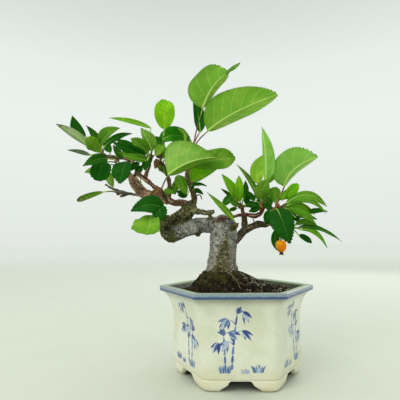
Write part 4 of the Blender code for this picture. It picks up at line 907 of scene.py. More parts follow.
def fine_tube(rows, step, wobble=0.0, phase=0.0):
    """A closed tube with round ends along measured rows, with the uneven section of its solid."""
    places = np.array([[*seen(row), row[3], i] for i, row in enumerate(rows)])
    line = smooth_line(places, step)
    axis = line[-1, :3] - line[-2, :3]
    axis /= np.linalg.norm(axis)
    end = line[-1]
    for lift, thin in ((0.25, 0.8), (0.4, 0.45)):
        cap = [*(end[:3] + axis * end[3] * lift), end[3] * thin, end[4]]
        line = np.concatenate([line, [cap]])
    sides = int(np.clip(line[:, 3].max() * 4.5, 10, 44))
    angle = np.arange(sides) * math.tau / sides
    points = []
    side = None
    before = None
    for i, row in enumerate(line):
        ahead = Vector(line[min(i + 1, len(line) - 1), :3] - line[max(i - 1, 0), :3]).normalized()
        if side is None:
            start = Vector((0, -1, 0)) if abs(ahead.y) < 0.9 else Vector((1, 0, 0))
            side = (start - ahead * start.dot(ahead)).normalized()
        else:
            side = before.rotation_difference(ahead) @ side
            side = (side - ahead * side.dot(ahead)).normalized()
        before = ahead
        over = ahead.cross(side)
        uneven = np.sin(2 * angle + phase + row[4] * 0.7) + 0.6 * np.sin(3 * angle + 2.1 * phase + row[4])
        reach = row[3] * (1 + wobble * uneven)
        points.append(row[:3] + np.outer(np.cos(angle) * reach, side) + np.outer(np.sin(angle) * reach, over))
    return points, line


# %% [markdown]
# Booleans would leave sharp creases between the tubes, so a voxel remesh melts them together.

# %% Trunk: one skin
SKIN_CELL = 0.44
skin_points = []
skin_faces = []
skeleton = []
skeleton_tone = []
skeleton_name = []


def add_limb(name, rows, step, wobble, phase, tone):
    """One tube in the pile of the skin, and its middle line with the limb's name and tone."""
    tube_rings, line = fine_tube(rows, step, wobble, phase)
    pile_up(skin_points, skin_faces, *closed_loft(tube_rings))
    for row in line:
        skeleton.append(row[:4])
        skeleton_tone.append(tone)
        skeleton_name.append(name)


add_limb("trunk", TRUNK, 0.9, 0.035, 1.3, BARK_TONES["trunk"])
for i, rows in enumerate(ROOTS):
    add_limb("trunk", rows, 1.0, 0.03, i, BARK_TONES["root"])
for i, (name, rows) in enumerate(LIMBS.items()):
    add_limb(name, rows, 0.7, 0.04, 0.9 * i, BARK_TONES[name])
for i, (rows, tone) in enumerate(KNOTS):
    add_limb("trunk", rows, 0.5, 0.05, i, tone)
bark = new_piece("bark_body", skin_points, skin_faces)
turn_outward(bark)
melt = bark.modifiers.new("one_skin", "REMESH")
melt.mode = "VOXEL"
melt.voxel_size = SKIN_CELL * MM
melt.use_smooth_shade = True
soften = bark.modifiers.new("soften", "SMOOTH")
soften.factor = 0.6
soften.iterations = 3
bpy.context.view_layer.update()
skin_mesh = bpy.data.meshes.new_from_object(bark.evaluated_get(bpy.context.evaluated_depsgraph_get()))
bark.modifiers.clear()
bark.data = skin_mesh
print("points in the skin", len(skin_mesh.vertices))

# %% [markdown]
# The skin still needs its grain. A small Geometry Nodes tree pushes every point along its normal by three
# noises: slow swellings, knobs of a few millimetres and fine roughness. Its inputs are their heights.

# %% Trunk: relief
relief, graph, start, end = geometry_tree("bark_relief", [
    ("Swelling", "NodeSocketFloat", 0.5), ("Knobs", "NodeSocketFloat", 0.5),
    ("Roughness", "NodeSocketFloat", 0.2), ("Material", "NodeSocketMaterial", None),
])
where = graph.add("GeometryNodeInputPosition")
where = graph.add("ShaderNodeVectorMath", {0: where, "Scale": 1 / MM}, operation="SCALE")
height = 0.0
for label, scale, detail in (("Swelling", 0.13, 2.0), ("Knobs", 0.33, 2.0), ("Roughness", 0.8, 4.0)):
    waves = graph.calc("SUBTRACT", graph.clouds(where, scale, detail, 0.62), 0.5)
    height = graph.calc("MULTIPLY_ADD", waves, start[label], height)
normal = graph.add("GeometryNodeInputNormal")
height = graph.calc("MULTIPLY", height, MM)
push = graph.add("ShaderNodeVectorMath", {0: normal, "Scale": height}, operation="SCALE")
moved = graph.add("GeometryNodeSetPosition", {"Geometry": start["Geometry"], "Offset": push})
close_tree(graph, moved, start["Material"], end)
print("nodes in the relief tree", len(relief.nodes))

# %% [markdown]
# Crabapple bark is grey and worn, with pale lichen, dark pits and broken patches of moss; on young limbs
# the pale patches are painted highlights. Each of these is a noise with a threshold, laid over the tone of
# the limb, and the pits and the moss also roughen it.

# %% Trunk: bark finish
bark_finish, graph, shader, place = new_finish("mossy_bark", 0.9, 0.2)
tone = graph.note("bark", "Color")
old = graph.note("lichen")
cloud = graph.ease(graph.clouds(place, 0.15, 3.0), 0.34, 0.66, 0.68, 1.28)
grain = graph.ease(graph.clouds(place, 0.9, 4.0, 0.7), 0.34, 0.66, 0.62, 1.32)
tone = graph.times(tone, graph.calc("MULTIPLY", cloud, grain))
# pale patches: lichen on the old wood, painted highlights on the young limbs
lichen_and_highlight_patch = graph.ease(graph.clouds(place, 0.42, 5.0, 0.65), 0.53, 0.60, 0.0, 0.7)
lichen_and_highlight = graph.blend(old, graph.times(tone, 1.6), tint(204, 206, 196))
tone = graph.blend(lichen_and_highlight_patch, tone, lichen_and_highlight)
pit = graph.ease(graph.cells(graph.shift(place, 0.5, 1.6), 0.40), 0.20, 0.32, 1.0, 0.0)
pit = graph.calc("MULTIPLY", pit, graph.ease(graph.clouds(place, 0.2), 0.42, 0.48))
split = graph.clouds(graph.shift(place, 0.4, 2.0), 0.28, 3.0)
split = graph.calc("ABSOLUTE", graph.calc("SUBTRACT", split, 0.5))
split = graph.ease(split, 0.008, 0.035, 0.7, 0.0)
blotch = graph.ease(graph.clouds(place, 0.52, 6.0, 0.75), 0.58, 0.63)
spread = graph.calc("MULTIPLY_ADD", old, -0.45, 0.95)
dark = graph.calc("MULTIPLY", graph.calc("MAXIMUM", split, blotch), spread)
dark = graph.calc("MINIMUM", graph.calc("MAXIMUM", graph.calc("MULTIPLY", pit, old), dark), 0.9)
tone = graph.blend(dark, tone, tint(36, 34, 24))
patchy = graph.calc("SUBTRACT", graph.note("moss"), 1.25)
moss = graph.calc("MULTIPLY_ADD", graph.clouds(place, 0.55, 6.0, 0.78), 2.2, patchy)
moss = graph.ease(moss, 0.30, 0.42, 0.0, 0.95)
tufts = graph.clouds(place, 0.48, 6.0, 0.75)
moss_tone = graph.graded(tufts, (14, 17, 6), (0.46, 0.55, (96, 102, 48)))
fleck = graph.ease(graph.clouds(place, 0.62, 4.0, 0.7), 0.55, 0.60, 0.0, 0.8)
moss_tone = graph.blend(fleck, moss_tone, tint(184, 184, 148))
dying = graph.ease(graph.clouds(place, 0.3, 4.0, 0.7), 0.52, 0.60, 0.0, 0.65)
moss_tone = graph.blend(dying, moss_tone, tint(84, 62, 36))
tone = graph.blend(moss, tone, moss_tone)
# painted shade: the bark darkens in the front creases, broken up by noise
broken = graph.ease(graph.clouds(place, 0.45, 4.0), 0.36, 0.54, 0.5, 1.0)
crease_shade = graph.calc("MULTIPLY", graph.note("crease_shade"), broken)
feed(graph, shader, Base_Color=graph.times(tone, graph.calc("MULTIPLY_ADD", crease_shade, -0.94, 1.0)))
fissure = graph.calc("SUBTRACT", graph.clouds(place, 1.3, 5.0, 0.75), graph.calc("MULTIPLY", dark, 0.6))
feed(graph, shader, Normal=bump(graph, fissure, 0.6, 1.0))
run_tree(bark, relief, Swelling=1.3, Knobs=1.5, Roughness=0.9, Material=bark_finish)
print("points pushed", len(bark.data.vertices))

# %% [markdown]
# Each point of the skin now takes the tone of the limb that it lies on. Moss is strongest on the elbow and
# the rising limb, and it runs down the front of the trunk in one slanting streak, brown along its middle.

# %% Trunk: where the colours go
# Places as seen, with their reach and colour: a broken end, fresh scars, painted shade in dark hollows and a
# pale patch.
STAINS_AND_SHADE = [
    ((-82.4, 148.6, 8), 3.4, (206, 160, 138)), ((-66.0, 131.0, 1), 2.6, (96, 92, 48)),
    ((-9.0, 112.4, -6), 4.0, (120, 116, 98)), ((-2.2, 91.6, -9), 3.4, (196, 196, 178)),
    ((-14.6, 100.0, -9), 2.2, (84, 84, 66)), ((-27.0, 104.0, -7), 2.4, (74, 74, 52)),
    ((-41.0, 101.0, -8), 2.8, (66, 68, 40)), ((24.0, 107.4, 0), 2.2, (128, 100, 78)),
    ((-70.0, 140.6, -6), 2.0, (206, 150, 124)), ((-63.0, 133.0, -6), 2.2, (196, 152, 96)),
    ((-57.0, 129.6, -6), 1.8, (214, 160, 136)), ((-66.0, 144.0, -6), 1.8, (190, 140, 104)),
    ((-76.4, 137.0, -3), 4.2, (76, 72, 42)),
]
# Painted shade in the creases on the front that stay in shade, as lines seen from there, with their reach and
# strength.
SHADED_CREASES = [
    ((-43.2, 113.2), (-52.6, 104.8), 3.2, 1.0), ((-31.0, 110.0), (-26.0, 106.0), 3.2, 0.4),
    ((-1.5, 110.0), (0.4, 105.0), 2.2, 0.6), ((-37.0, 112.6), (-28.5, 114.8), 1.6, 0.7),
    ((-20.6, 108.0), (-18.8, 104.0), 1.8, 0.4), ((-60.0, 133.0), (-71.0, 146.0), 1.2, 0.7),
    ((-46.4, 103.8), (-51.6, 108.6), 3.0, 0.45), ((0.5, 94.2), (9.0, 101.6), 1.3, 0.7),
    ((9.0, 102.0), (24.0, 105.6), 1.2, 0.7),
]


def to_line(spots, a, b):
    """Distance from spots to a line from a to b, in the plane seen from the front."""
    a, b = np.array(a, float), np.array(b, float)
    share = np.clip(((spots - a) @ (b - a)) / ((b - a) @ (b - a)), 0, 1)
    return np.linalg.norm(spots - (a + share[:, None] * (b - a)), axis=1)


where = np.empty(len(bark.data.vertices) * 3)
bark.data.vertices.foreach_get("co", where)
where = where.reshape(-1, 3) / MM - HOME
skeleton = np.array(skeleton)
told = np.column_stack([
    np.array(skeleton_tone, float),
    [MOSSY.get(name, 0.0) for name in skeleton_name],
    [name in ("trunk", "level_limb") for name in skeleton_name],
])
SHARP = 2.2
CHUNK = 2000
BROWN_MOSS = (106, 80, 46)
mixed = np.empty((len(where), 5))
for first in range(0, len(where), CHUNK):
    spots = where[first:first + CHUNK]
    far = np.linalg.norm(spots[:, None] - skeleton[None, :, :3], axis=2)
    share = np.exp(-SHARP * (far - skeleton[:, 3]))
    mixed[first:first + CHUNK] = share @ told / share.sum(axis=1, keepdims=True)
tones = mixed[:, :3]
mossy = mixed[:, 3]
grey = mixed[:, 4]
seen_from = np.array([EYE[0], EYE[2]])
front = seen_from + (where[:, [0, 2]] - seen_from) / (1 - where[:, 1] / EYE[1])[:, None]
facing = np.clip(0.5 - (where[:, 1] + 1) / 5, 0, 1)
wide = 1.8 + np.clip(98 - where[:, 2], 0, 24) * 0.22
streak = np.exp(-(to_line(front, (-6.0, 99), (-11.2, 74)) / wide) ** 2) * facing
brown = np.exp(-(to_line(front, (-7.4, 93), (-10.4, 74)) / wide) ** 2) * facing
elbow = np.clip((-43.0 - where[:, 0]) / 6, 0, 1) * (where[:, 2] < 122) * (where[:, 2] > 92)
underneath = np.clip((104.5 - where[:, 2]) / 4, 0, 1) * (where[:, 0] < -22) * (where[:, 2] > 92) * 0.45
foot = np.clip((77 - where[:, 2]) / 8, 0, 1) * (where[:, 0] > -26) * (where[:, 0] < 8) * 0.42
back_streak = np.exp(-(to_line(front, (-14, 98), (-6, 74)) / 4.5) ** 2) * np.clip(where[:, 1] / 4, 0, 1) * 0.8
mossy = np.clip(mossy + 0.66 * streak + 0.85 * elbow + underneath + foot + back_streak, 0, 1)
tones += (np.array(BROWN_MOSS) - tones) * 0.75 * brown[:, None]
# stains, and painted shade in the dark hollows
for spot, reach, stain in STAINS_AND_SHADE:
    share = 0.85 * np.exp(-(np.linalg.norm(where - seen(spot), axis=1) / reach) ** 2)
    tones += (np.array(stain) - tones) * share[:, None]
# painted shade along the front creases
crease_shade = np.zeros(len(where))
for a, b, reach, strength in SHADED_CREASES:
    crease_shade = np.maximum(crease_shade, strength * np.exp(-(to_line(front, a, b) / reach) ** 2) * facing)
paint(bark, "crease_shade", crease_shade)
paint(bark, "bark", [tint(*tone) for tone in np.clip(tones, 0, 255)])
paint(bark, "moss", mossy)
paint(bark, "lichen", np.clip(grey, 0, 1))
set_in_frame(bark, "trunk", "trunk")

# %% [markdown]
# Moss stands up from the bark in tiny cushions. The same scatter tree places them, thickest where the
# mask is high.

# %% Trunk: moss cushions
cushion_finish, graph, shader, place = new_finish("moss_cushions", 0.95, 0.15)
chance = graph.note("chance")
green = graph.graded(chance, (26, 28, 12), (0.0, 1.0, (124, 124, 66)))
green = graph.blend(graph.ease(graph.clouds(place, 0.25, 3.0), 0.5, 0.62, 0.0, 0.7), green, tint(94, 80, 46))
feed(graph, shader, Base_Color=green)
cushions = bark.copy()
cushions.data = bark.data.copy()
cushions.name = "moss_cushions"
bpy.context.scene.collection.objects.link(cushions)
patch = np.array([noise.fractal(Vector(spot) * 0.45, 0.8, 2.1, 3) for spot in where])
paint(cushions, "scatter", mossy * (0.5 + 1.2 * patch) * (where[:, 2] > 68))
sizes = {"Lump": MM, "Smallest": 0.16, "Largest": 0.55}
run_tree(cushions, scatter, Density=2300000.0, Seed=9, Mask=0.5, Material=cushion_finish, **sizes)
set_in_frame(cushions, "trunk")

# %% [markdown]
# The leaves are simple ovals with a fine saw edge. Each blade is a grid laid over the same midrib, widths
# and roll as its solid, so it covers the solid's outline. The grid adds what the solid left out: two points
# for every tooth, a soft arch in each half, waves in the margin and swellings between the side veins.

# %% Leaves: measured shoots
# A shoot has its twig, further stem places and leaves. A leaf has its base, middle and tip as x, z and
# depth, the widths of its halves, its roll at base and tip, whether its underside faces the front, its
# fold, where it is widest, how blunt it is, and sometimes the stem place that bears it.
SHOOTS = [
    ("crown_shoot", "crown_twig", [(-31.6, 169.5, 4)], [
        ((-23.4, 200.5, 0), (-15.5, 218, -6), (-2, 231.6, -10), 21, 4.2, (-14, 10), 1, 24, 0.42, 8.0),
        ((-4.5, 230, -10), (1.5, 234, -11), (7.4, 238.6, -12), 1.7, 1.7, (20, 60), 0, 10, 0.5, 2.0),
        ((-19.6, 182, 0), (3, 197.2, -9), (36.6, 211, -14), 21.5, 6.6, (-10, 0), 1, 16, 0.4, -1.7),
        ((-25.4, 181, 12), (-27.4, 198, 17), (-30.6, 216, 16), 4.0, 6, (8, 8), 0, 14, 0.3, 2.0),
    ]),
    ("petal_shoot", "petal_twig", [(-56.2, 136.4, -19)], [
        ((-51.6, 147, -25), (-33, 157.6, -31), (-12, 160.4, -26), 21, 4.5, (-10, 6), 1, 22, 0.3, 1.9),
        ((-58.0, 134.6, -18), (-61.4, 133.6, -17), (-65.0, 130.6, -15), 2.2, 2.4, (0, 0), 0, 18, 0.45, 2.0),
    ]),
    ("inner_shoot", "inner_twig", [(-31.4, 142.4, -6)], [
        ((-36, 155.6, -12), (-16, 158.4, -17), (2.0, 159.4, -18), 8.2, 7.6, (8, -6), 0, 12, 0.62, 2.8),
        ((-33.2, 141.2, -6), (-22.5, 146.5, -10), (-11, 152.4, -10), 11, 2.2, (0, 10), 0, 14, 0.3, 2.0),
        ((-43.6, 147, -6), (-40, 139, -10), (-36.6, 131, -12), 4, 5, (10, 10), 0, 20, 0.4, 2.0),
        ((-33, 137.6, -11), (-27.5, 139.2, -14), (-20.8, 137.8, -14), 1.8, 1.8, (30, 30), 0, 20, 0.4, 1.8),
        ((-31, 135.6, -4), (-27.2, 133.8, -6), (-23.6, 131.2, -6), 1.9, 1.7, (0, 0), 0, 15, 0.4, 1.8),
    ]),
    ("tall_leaf_shoot", "bud_twig", [(-57.5, 157.4, 7)], [
        ((-54.2, 184.2, 4), (-54.4, 196.5, 2), (-55.4, 209.4, 3), 7.8, 8.8, (6, 0), 0, 10, 0.56, 3.2),
        ((-57.5, 174, 16), (-46, 179.4, 20), (-33, 174, 20), 7.5, 7, (6, 0), 0, 14, 0.45, 2.2),
        ((-38, 173, 12), (-38.4, 180.6, 12), (-43.6, 184.6, 11), 2.0, 2.2, (10, 10), 1, 10, 0.6, 3.0),
        ((-55.4, 166.6, 1), (-59.6, 170.2, -2), (-65.6, 170.6, -3), 3.0, 2.6, (0, 0), 1, 14, 0.45, 2.0),
        ((-55.0, 169.5, 9), (-58.6, 174.4, 10), (-64.0, 178.0, 10), 3.2, 3.6, (0, 0), 0, 14, 0.45, 2.0),
        ((-60.0, 158.6, 14), (-56.2, 155.0, 14), (-52.2, 150.6, 13), 2.6, 2.6, (10, 10), 0, 20, 0.4, 2.0),
        ((-59.0, 159.8, 1), (-61.0, 156.6, -2), (-61.6, 152.4, -3), 2.6, 2.8, (20, 50), 0, 26, 0.5, 2.4),
        ((-58.4, 160.8, -2), (-58.2, 163.4, -6), (-57.0, 166.6, -7), 2.8, 2.8, (-30, 10), 0, 26, 0.5, 2.4),
    ]),
    ("cluster_shoot", "cluster_twig", [(-64.8, 163.4, -2)], [
        ((-63.8, 166.4, -7), (-67.6, 175, -12), (-73.4, 185.8, -12), 3.6, 6.6, (0, 8), 1, 18, 0.5, 2.0),
        ((-67.2, 165, -10), (-73.6, 171.6, -17), (-81.2, 177.4, -18), 4.6, 5.2, (0, 0), 0, 18, 0.45, 2.0),
        ((-69, 162.4, -12), (-81, 167.6, -21), (-96.5, 174.9, -24), 4.2, 4.2, (0, 0), 0, 20, 0.4, 1.9),
        ((-66.4, 160.6, -8), (-68.6, 156.4, -12), (-69.8, 151.2, -13), 3.6, 3.6, (0, 0), 0, 20, 0.4, 1.9),
        ((-64.8, 185.4, 2), (-79.6, 191.2, -6), (-99.4, 195, -16), 2.0, 2.2, (20, 10), 0, 20, 0.5, 1.9),
        ((-74.6, 166.2, 5), (-84.0, 171.6, 10), (-93.1, 176.6, 12), 3.6, 4.0, (0, 0), 0, 18, 0.45, 1.9),
        ((-70.4, 160.4, -5), (-81.0, 164.2, -10), (-91.9, 166.4, -13), 2.4, 2.4, (0, 0), 0, 18, 0.4, 1.9),
    ]),
    ("left_tip_shoot", "left_limb", [(-99.5, 162.4, 2), (-104.6, 164.8, 1)], [
        ((-115, 171.6, -6), (-128.4, 182.2, -15), (-143, 190.8, -24), 2.8, 4.0, (0, 0), 1, 16, 0.45, 1.8),
        ((-118, 178.6, 7), (-124.6, 187.6, 8), (-129.6, 197.6, 6), 6.2, 3.2, (0, 0), 0, 14, 0.4, 1.9),
        ((-113.4, 164.2, 3), (-122.6, 167.4, 2), (-133, 169.0, -3), 1.8, 2.0, (20, 20), 0, 18, 0.4, 1.8),
        ((-108.4, 166.6, -9), (-112.2, 173.4, -17), (-118.4, 178.6, -20), 5.2, 5.6, (0, 0), 0, 16, 0.5, 2.4),
        ((-107, 170.4, 12), (-110.2, 179.8, 15), (-118, 189, 14), 3.4, 3.4, (0, 0), 0, 16, 0.4, 1.8),
        ((-105.4, 171.6, -10), (-101, 180.2, -19), (-90.4, 186.2, -25), 5.8, 3.0, (-8, 0), 0, 18, 0.45, 1.9),
        ((-102.8, 171.2, 2), (-92.6, 178.8, -1), (-80, 181.4, -4), 2.6, 3.4, (0, 0), 0, 20, 0.4, 1.8),
        ((-97.4, 166.0, 7), (-99.8, 170.4, 12), (-103.6, 174.6, 14), 3.4, 3.4, (0, 0), 0, 18, 0.45, 2, 2),
    ]),
    ("hanging_shoot", "low_left_limb", [(-83.6, 151.2, 10), (-86.4, 155.6, 8)], [
        ((-100, 161.4, -12), (-109, 160.4, -20), (-119.6, 155.6, -24), 4.6, 4.4, (0, 0), 0, 18, 0.4, 1.8),
        ((-102.6, 159.4, -8), (-105.6, 151.6, -13), (-107.6, 143.4, -13), 8.0, 7.0, (8, 8), 0, 12, 0.4, 5.0),
        ((-85.0, 158.8, -7), (-87.6, 150.2, -13), (-89.6, 140.8, -14), 7.4, 8.2, (-6, -6), 0, 16, 0.42, 2.4),
        ((-99.6, 150.6, 4), (-97.8, 144.8, 2), (-94.8, 138, -2), 3.4, 3.4, (0, 0), 1, 16, 0.4, 1.9),
        ((-106.4, 155.2, 8), (-112, 152.6, 9), (-118, 150.6, 8), 2.6, 2.6, (0, 0), 1, 16, 0.5, 2.0),
    ]),
    ("single_leaf", "leaf_spur", [(-92.0, 134.0, 10)], [
        ((-102.6, 134.4, 9), (-112.6, 131.8, 5), (-123.6, 127.4, -1), 2.3, 2.5, (0, 0), 0, 16, 0.7, 5.0),
    ]),
    ("elbow_shoot", "elbow_twig", [(-56.0, 118.4, -19)], [
        ((-55.4, 120.8, -22), (-66.4, 123.6, -29), (-80.4, 118.8, -30), 6.2, 6.8, (0, -10), 0, 14, 0.42, 1.8),
        ((-56.6, 114.8, -18), (-60.0, 113.0, -20), (-64.4, 111.2, -19), 2.6, 2.4, (0, 0), 0, 16, 0.45, 2.0),
        ((-64.4, 115.2, -22), (-65.8, 109.4, -31), (-67.6, 100.4, -39), 8.2, 11.0, (0, 0), 0, 12, 0.78, 5.0),
    ]),
    ("shoulder_leaf", "shoulder_twig", [(1.0, 108.2, -15)], [
        ((-0.6, 111.4, -17), (-8.6, 121.2, -20), (-21, 133, -20), 2.4, 2.6, (20, 20), 0, 20, 0.4, 1.7),
    ]),
    ("upright_shoot", "upright_twig", [(5.2, 121.8, -2)], [
        ((2.6, 125, -5), (-1.4, 135, -11), (-9, 147, -12), 3.0, 4.2, (0, 0), 0, 18, 0.5, 1.9),
        ((4.6, 125, -7), (4.8, 135, -15), (4.4, 145.6, -17), 3.8, 2.8, (0, 0), 0, 18, 0.5, 2.4),
        ((7.4, 127.4, 3), (9.0, 134, 6), (9.2, 141.6, 6), 2.4, 2.8, (0, 0), 0, 18, 0.5, 2.0),
        ((0, 126.4, 1), (-4.4, 131.4, 2), (-10, 135.6, 2), 1.5, 1.5, (0, 0), 0, 18, 0.45, 1.8),
        ((-1.6, 129.6, -12), (-4.8, 126.6, -17), (-8.8, 122, -18), 3.0, 3.0, (0, 0), 0, 18, 0.5, 2.4),
        ((2.6, 120, 3), (-1.0, 119.4, 6), (-4.8, 118.2, 7), 1.7, 1.7, (0, 0), 0, 18, 0.4, 1.8),
        ((8.8, 122.2, -6), (14, 123, -10), (20.2, 120.8, -11), 2.6, 2.6, (0, 0), 0, 18, 0.45, 1.9),
    ]),
    ("tall_right_shoot", "across_twig", [(22.6, 122.4, -2)], [
        ((24.6, 139.6, -9), (25.6, 160, -14), (23.2, 185, -12), 2.2, 8.0, (-10, 0), 1, 16, 0.4, 2.0),
        ((20.8, 139, 4), (18.4, 149.4, 6), (24.4, 162.0, 8), 5.6, 5.4, (0, 0), 0, 14, 0.45, 2.2),
        ((24.4, 139, 0), (29.0, 145.4, -2), (33.6, 152, -4), 3.4, 4.0, (0, 0), 0, 14, 0.5, 2.2),
        ((18.0, 128.6, 10), (12.6, 142, 13), (2.2, 155, 12), 2.0, 2.6, (0, 0), 0, 18, 0.4, 1.7),
        ((21.0, 126.4, -11), (22.0, 133.8, -19), (27.0, 141.8, -22), 5.6, 5.2, (0, 0), 0, 14, 0.5, 2.4),
        ((16.6, 125.4, 2), (13.0, 129.6, 3), (9.0, 133.6, 3), 2.6, 2.4, (0, 0), 0, 18, 0.5, 2.0),
    ]),
    ("front_right_shoot", "right_limb", [(32.6, 121.8, 2), (35.2, 127.2, 0), (37.6, 132.6, -3)], [
        ((39.4, 136.2, -6), (47.6, 150.2, -14), (66, 159.4, -20), 15.6, 3.6, (-10, 0), 1, 18, 0.5, 2.8),
        ((38.6, 126.6, -3), (43.8, 132.2, -8), (50.0, 138.6, -12), 3.8, 3.8, (0, 0), 0, 14, 0.62, 3.2, 3),
        ((32.0, 123.4, 10), (31.8, 129.6, 14), (31.6, 136.4, 15), 5.0, 4.6, (0, 0), 0, 14, 0.6, 4.0, 2),
    ]),
    ("fan_shoot", "fan_twig", [(36.0, 120.8, -4)], [
        ((39.6, 122.8, -9), (56.0, 129.8, -18), (70.8, 120.5, -16), 2.9, 4.6, (6, 0), 0, 22, 0.5, 1.9),
        ((40.0, 121.0, -4), (56.0, 125.2, -7), (70.0, 115.2, -7), 2.4, 2.4, (20, 20), 0, 22, 0.45, 1.8),
        ((39.6, 119.0, -9), (50.2, 118.6, -17), (60.8, 110.8, -20), 2.9, 3.6, (0, 0), 0, 20, 0.45, 1.9),
        ((54.4, 114.8, 4), (62.0, 117.6, 6), (71.4, 116.6, 5), 2.0, 2.4, (0, 0), 0, 20, 0.45, 1.8),
        ((46.4, 112.4, 0), (54.6, 113.2, -1), (63, 110.6, -3), 1.7, 1.7, (0, 0), 0, 20, 0.5, 2.6),
    ]),
    ("low_right_shoot", "low_right_twig", [(44.4, 103.8, 7)], [
        ((48.0, 104.2, 2), (63, 103.6, -6), (80.6, 93.8, -10), 2.6, 2.4, (40, 40), 0, 20, 0.45, 1.7),
        ((50.4, 102.8, 9), (61, 100.8, 9), (69.6, 89, 6), 2.2, 2.2, (10, 10), 0, 20, 0.45, 1.7),
        ((48.6, 98.8, 12), (53.0, 97.0, 13), (58.2, 92.8, 12), 2.4, 2.4, (0, 0), 0, 16, 0.55, 3.2),
        ((47.2, 106.8, 0), (54.6, 108.4, -4), (62.8, 106, -6), 1.7, 1.7, (0, 0), 0, 20, 0.5, 2.6),
    ]),
    ("draping_shoot", "drape_twig", [(31.2, 119.2, -12)], [
        ((33.0, 119.0, -17), (37.2, 108.4, -25), (41.8, 92.5, -25), 7.8, 9.4, (0, 0), 0, 14, 0.42, 2.1),
        ((28.2, 117.6, -13), (25.6, 113.6, -15), (24.4, 107.6, -15), 3.2, 3.2, (0, 0), 0, 16, 0.45, 2.2),
        ((28.6, 121.2, -9), (27.0, 124.8, -8), (26.0, 128.6, -6), 2.8, 2.8, (0, 0), 0, 16, 0.45, 2.2),
    ]),
    ("back_leaf_shoot", "fruit_twig", [(35.0, 103.6, -5)], [
        ((32.2, 103.4, 0), (30.8, 96.0, 1), (32, 87.6, 0), 3.4, 3.4, (0, 0), 0, 16, 0.5, 2.2),
    ]),
]
print(sum(len(leaves) for _, _, _, leaves in SHOOTS), "leaves on", len(SHOOTS), "shoots")

# %% Leaves: greens
# One letter a leaf, in the order of the rows above; W is for the few that have withered.
LEAF_GREENS = {
    "crown_shoot": "LMLD", "petal_shoot": "NW", "inner_shoot": "GBMDD", "tall_leaf_shoot": "YVLLKDWW",
    "cluster_shoot": "LMDDYUM", "left_tip_shoot": "SDSOKGDD", "hanging_shoot": "KDULL", "single_leaf": "O",
    "elbow_shoot": "UDH", "shoulder_leaf": "O", "upright_shoot": "BBKDKDD", "tall_right_shoot": "PABMGD",
    "front_right_shoot": "PBH", "fan_shoot": "GMMDK", "low_right_shoot": "KBDM", "draping_shoot": "UDK",
    "back_leaf_shoot": "K",
}
TOP_GREENS = {
    "A": (134, 188, 52), "B": (104, 176, 10), "D": (22, 87, 6), "G": (88, 144, 36), "H": (98, 152, 36),
    "K": (34, 94, 12), "L": (76, 134, 30), "M": (76, 132, 22), "N": (86, 142, 40),
    "O": (92, 140, 30), "P": (86, 142, 40), "S": (100, 126, 92), "U": (26, 88, 20),
    "V": (44, 134, 16), "W": (104, 78, 42), "Y": (120, 192, 20),
}
UNDER_GREENS = {
    "A": (134, 182, 76), "B": (114, 168, 56), "D": (94, 134, 60), "G": (126, 172, 68), "H": (110, 160, 56),
    "K": (100, 140, 62), "L": (102, 154, 46), "M": (116, 156, 66), "N": (128, 178, 72),
    "O": (126, 158, 84), "P": (130, 192, 76), "S": (142, 170, 120), "U": (92, 134, 72),
    "V": (98, 146, 60), "W": (128, 98, 58), "Y": (136, 180, 72),
}


def share_of_width(t, widest, blunt):
    """How wide a half of the blade is along its length; a negative blunt means a rounded tip."""
    near = (1 - (1 - np.minimum(t / widest, 1)) ** 2) ** 0.6
    far = 1 - np.clip((t - widest) / (1 - widest), 0, 1) ** abs(blunt)
    if blunt < 0:
        far = far**0.6
    return np.where(t < widest, near, far)


# %% [markdown]
# A blade is thin but has two sides, so its grid is made twice, half a thickness up and down, and closed
# round the edge.

# %% Leaves: one blade
TOOTH_PITCH = 1.6
VEIN_PITCH = 3.1
BIG_LEAF = 30.0


class Blade:
    """The midrib of a measured leaf and the directions beside it."""

    def __init__(self, row):
        self.base, self.middle, self.tip = (seen(place) for place in row[:3])
        self.widths = {-1: row[3], 1: row[4]}
        self.roll, self.under, self.fold, widest, self.blunt = row[5:10]
        self.widest = {-1: widest, 1: widest}
        self.pull = self.middle * 2 - (self.base + self.tip) / 2
        self.length = np.linalg.norm(self.middle - self.base) + np.linalg.norm(self.tip - self.middle)

    def rib(self, t):
        t = np.asarray(t, float)[..., None]
        return self.base * (1 - t) ** 2 + self.pull * 2 * t * (1 - t) + self.tip * t**2

    def frame(self, t):
        t = np.asarray(t, float)[..., None]
        ahead = (self.pull - self.base) * (1 - t) + (self.tip - self.pull) * t
        ahead /= np.linalg.norm(ahead, axis=-1, keepdims=True)
        facing = np.array([0.0, -1.0, 0.0])
        facing = facing - ahead * (ahead @ facing)[..., None]
        facing /= np.linalg.norm(facing, axis=-1, keepdims=True)
        side = np.cross(ahead, facing)
        turn = np.radians(self.roll[0] + (self.roll[1] - self.roll[0]) * t)
        return side * np.cos(turn) + facing * np.sin(turn), facing * np.cos(turn) - side * np.sin(turn)


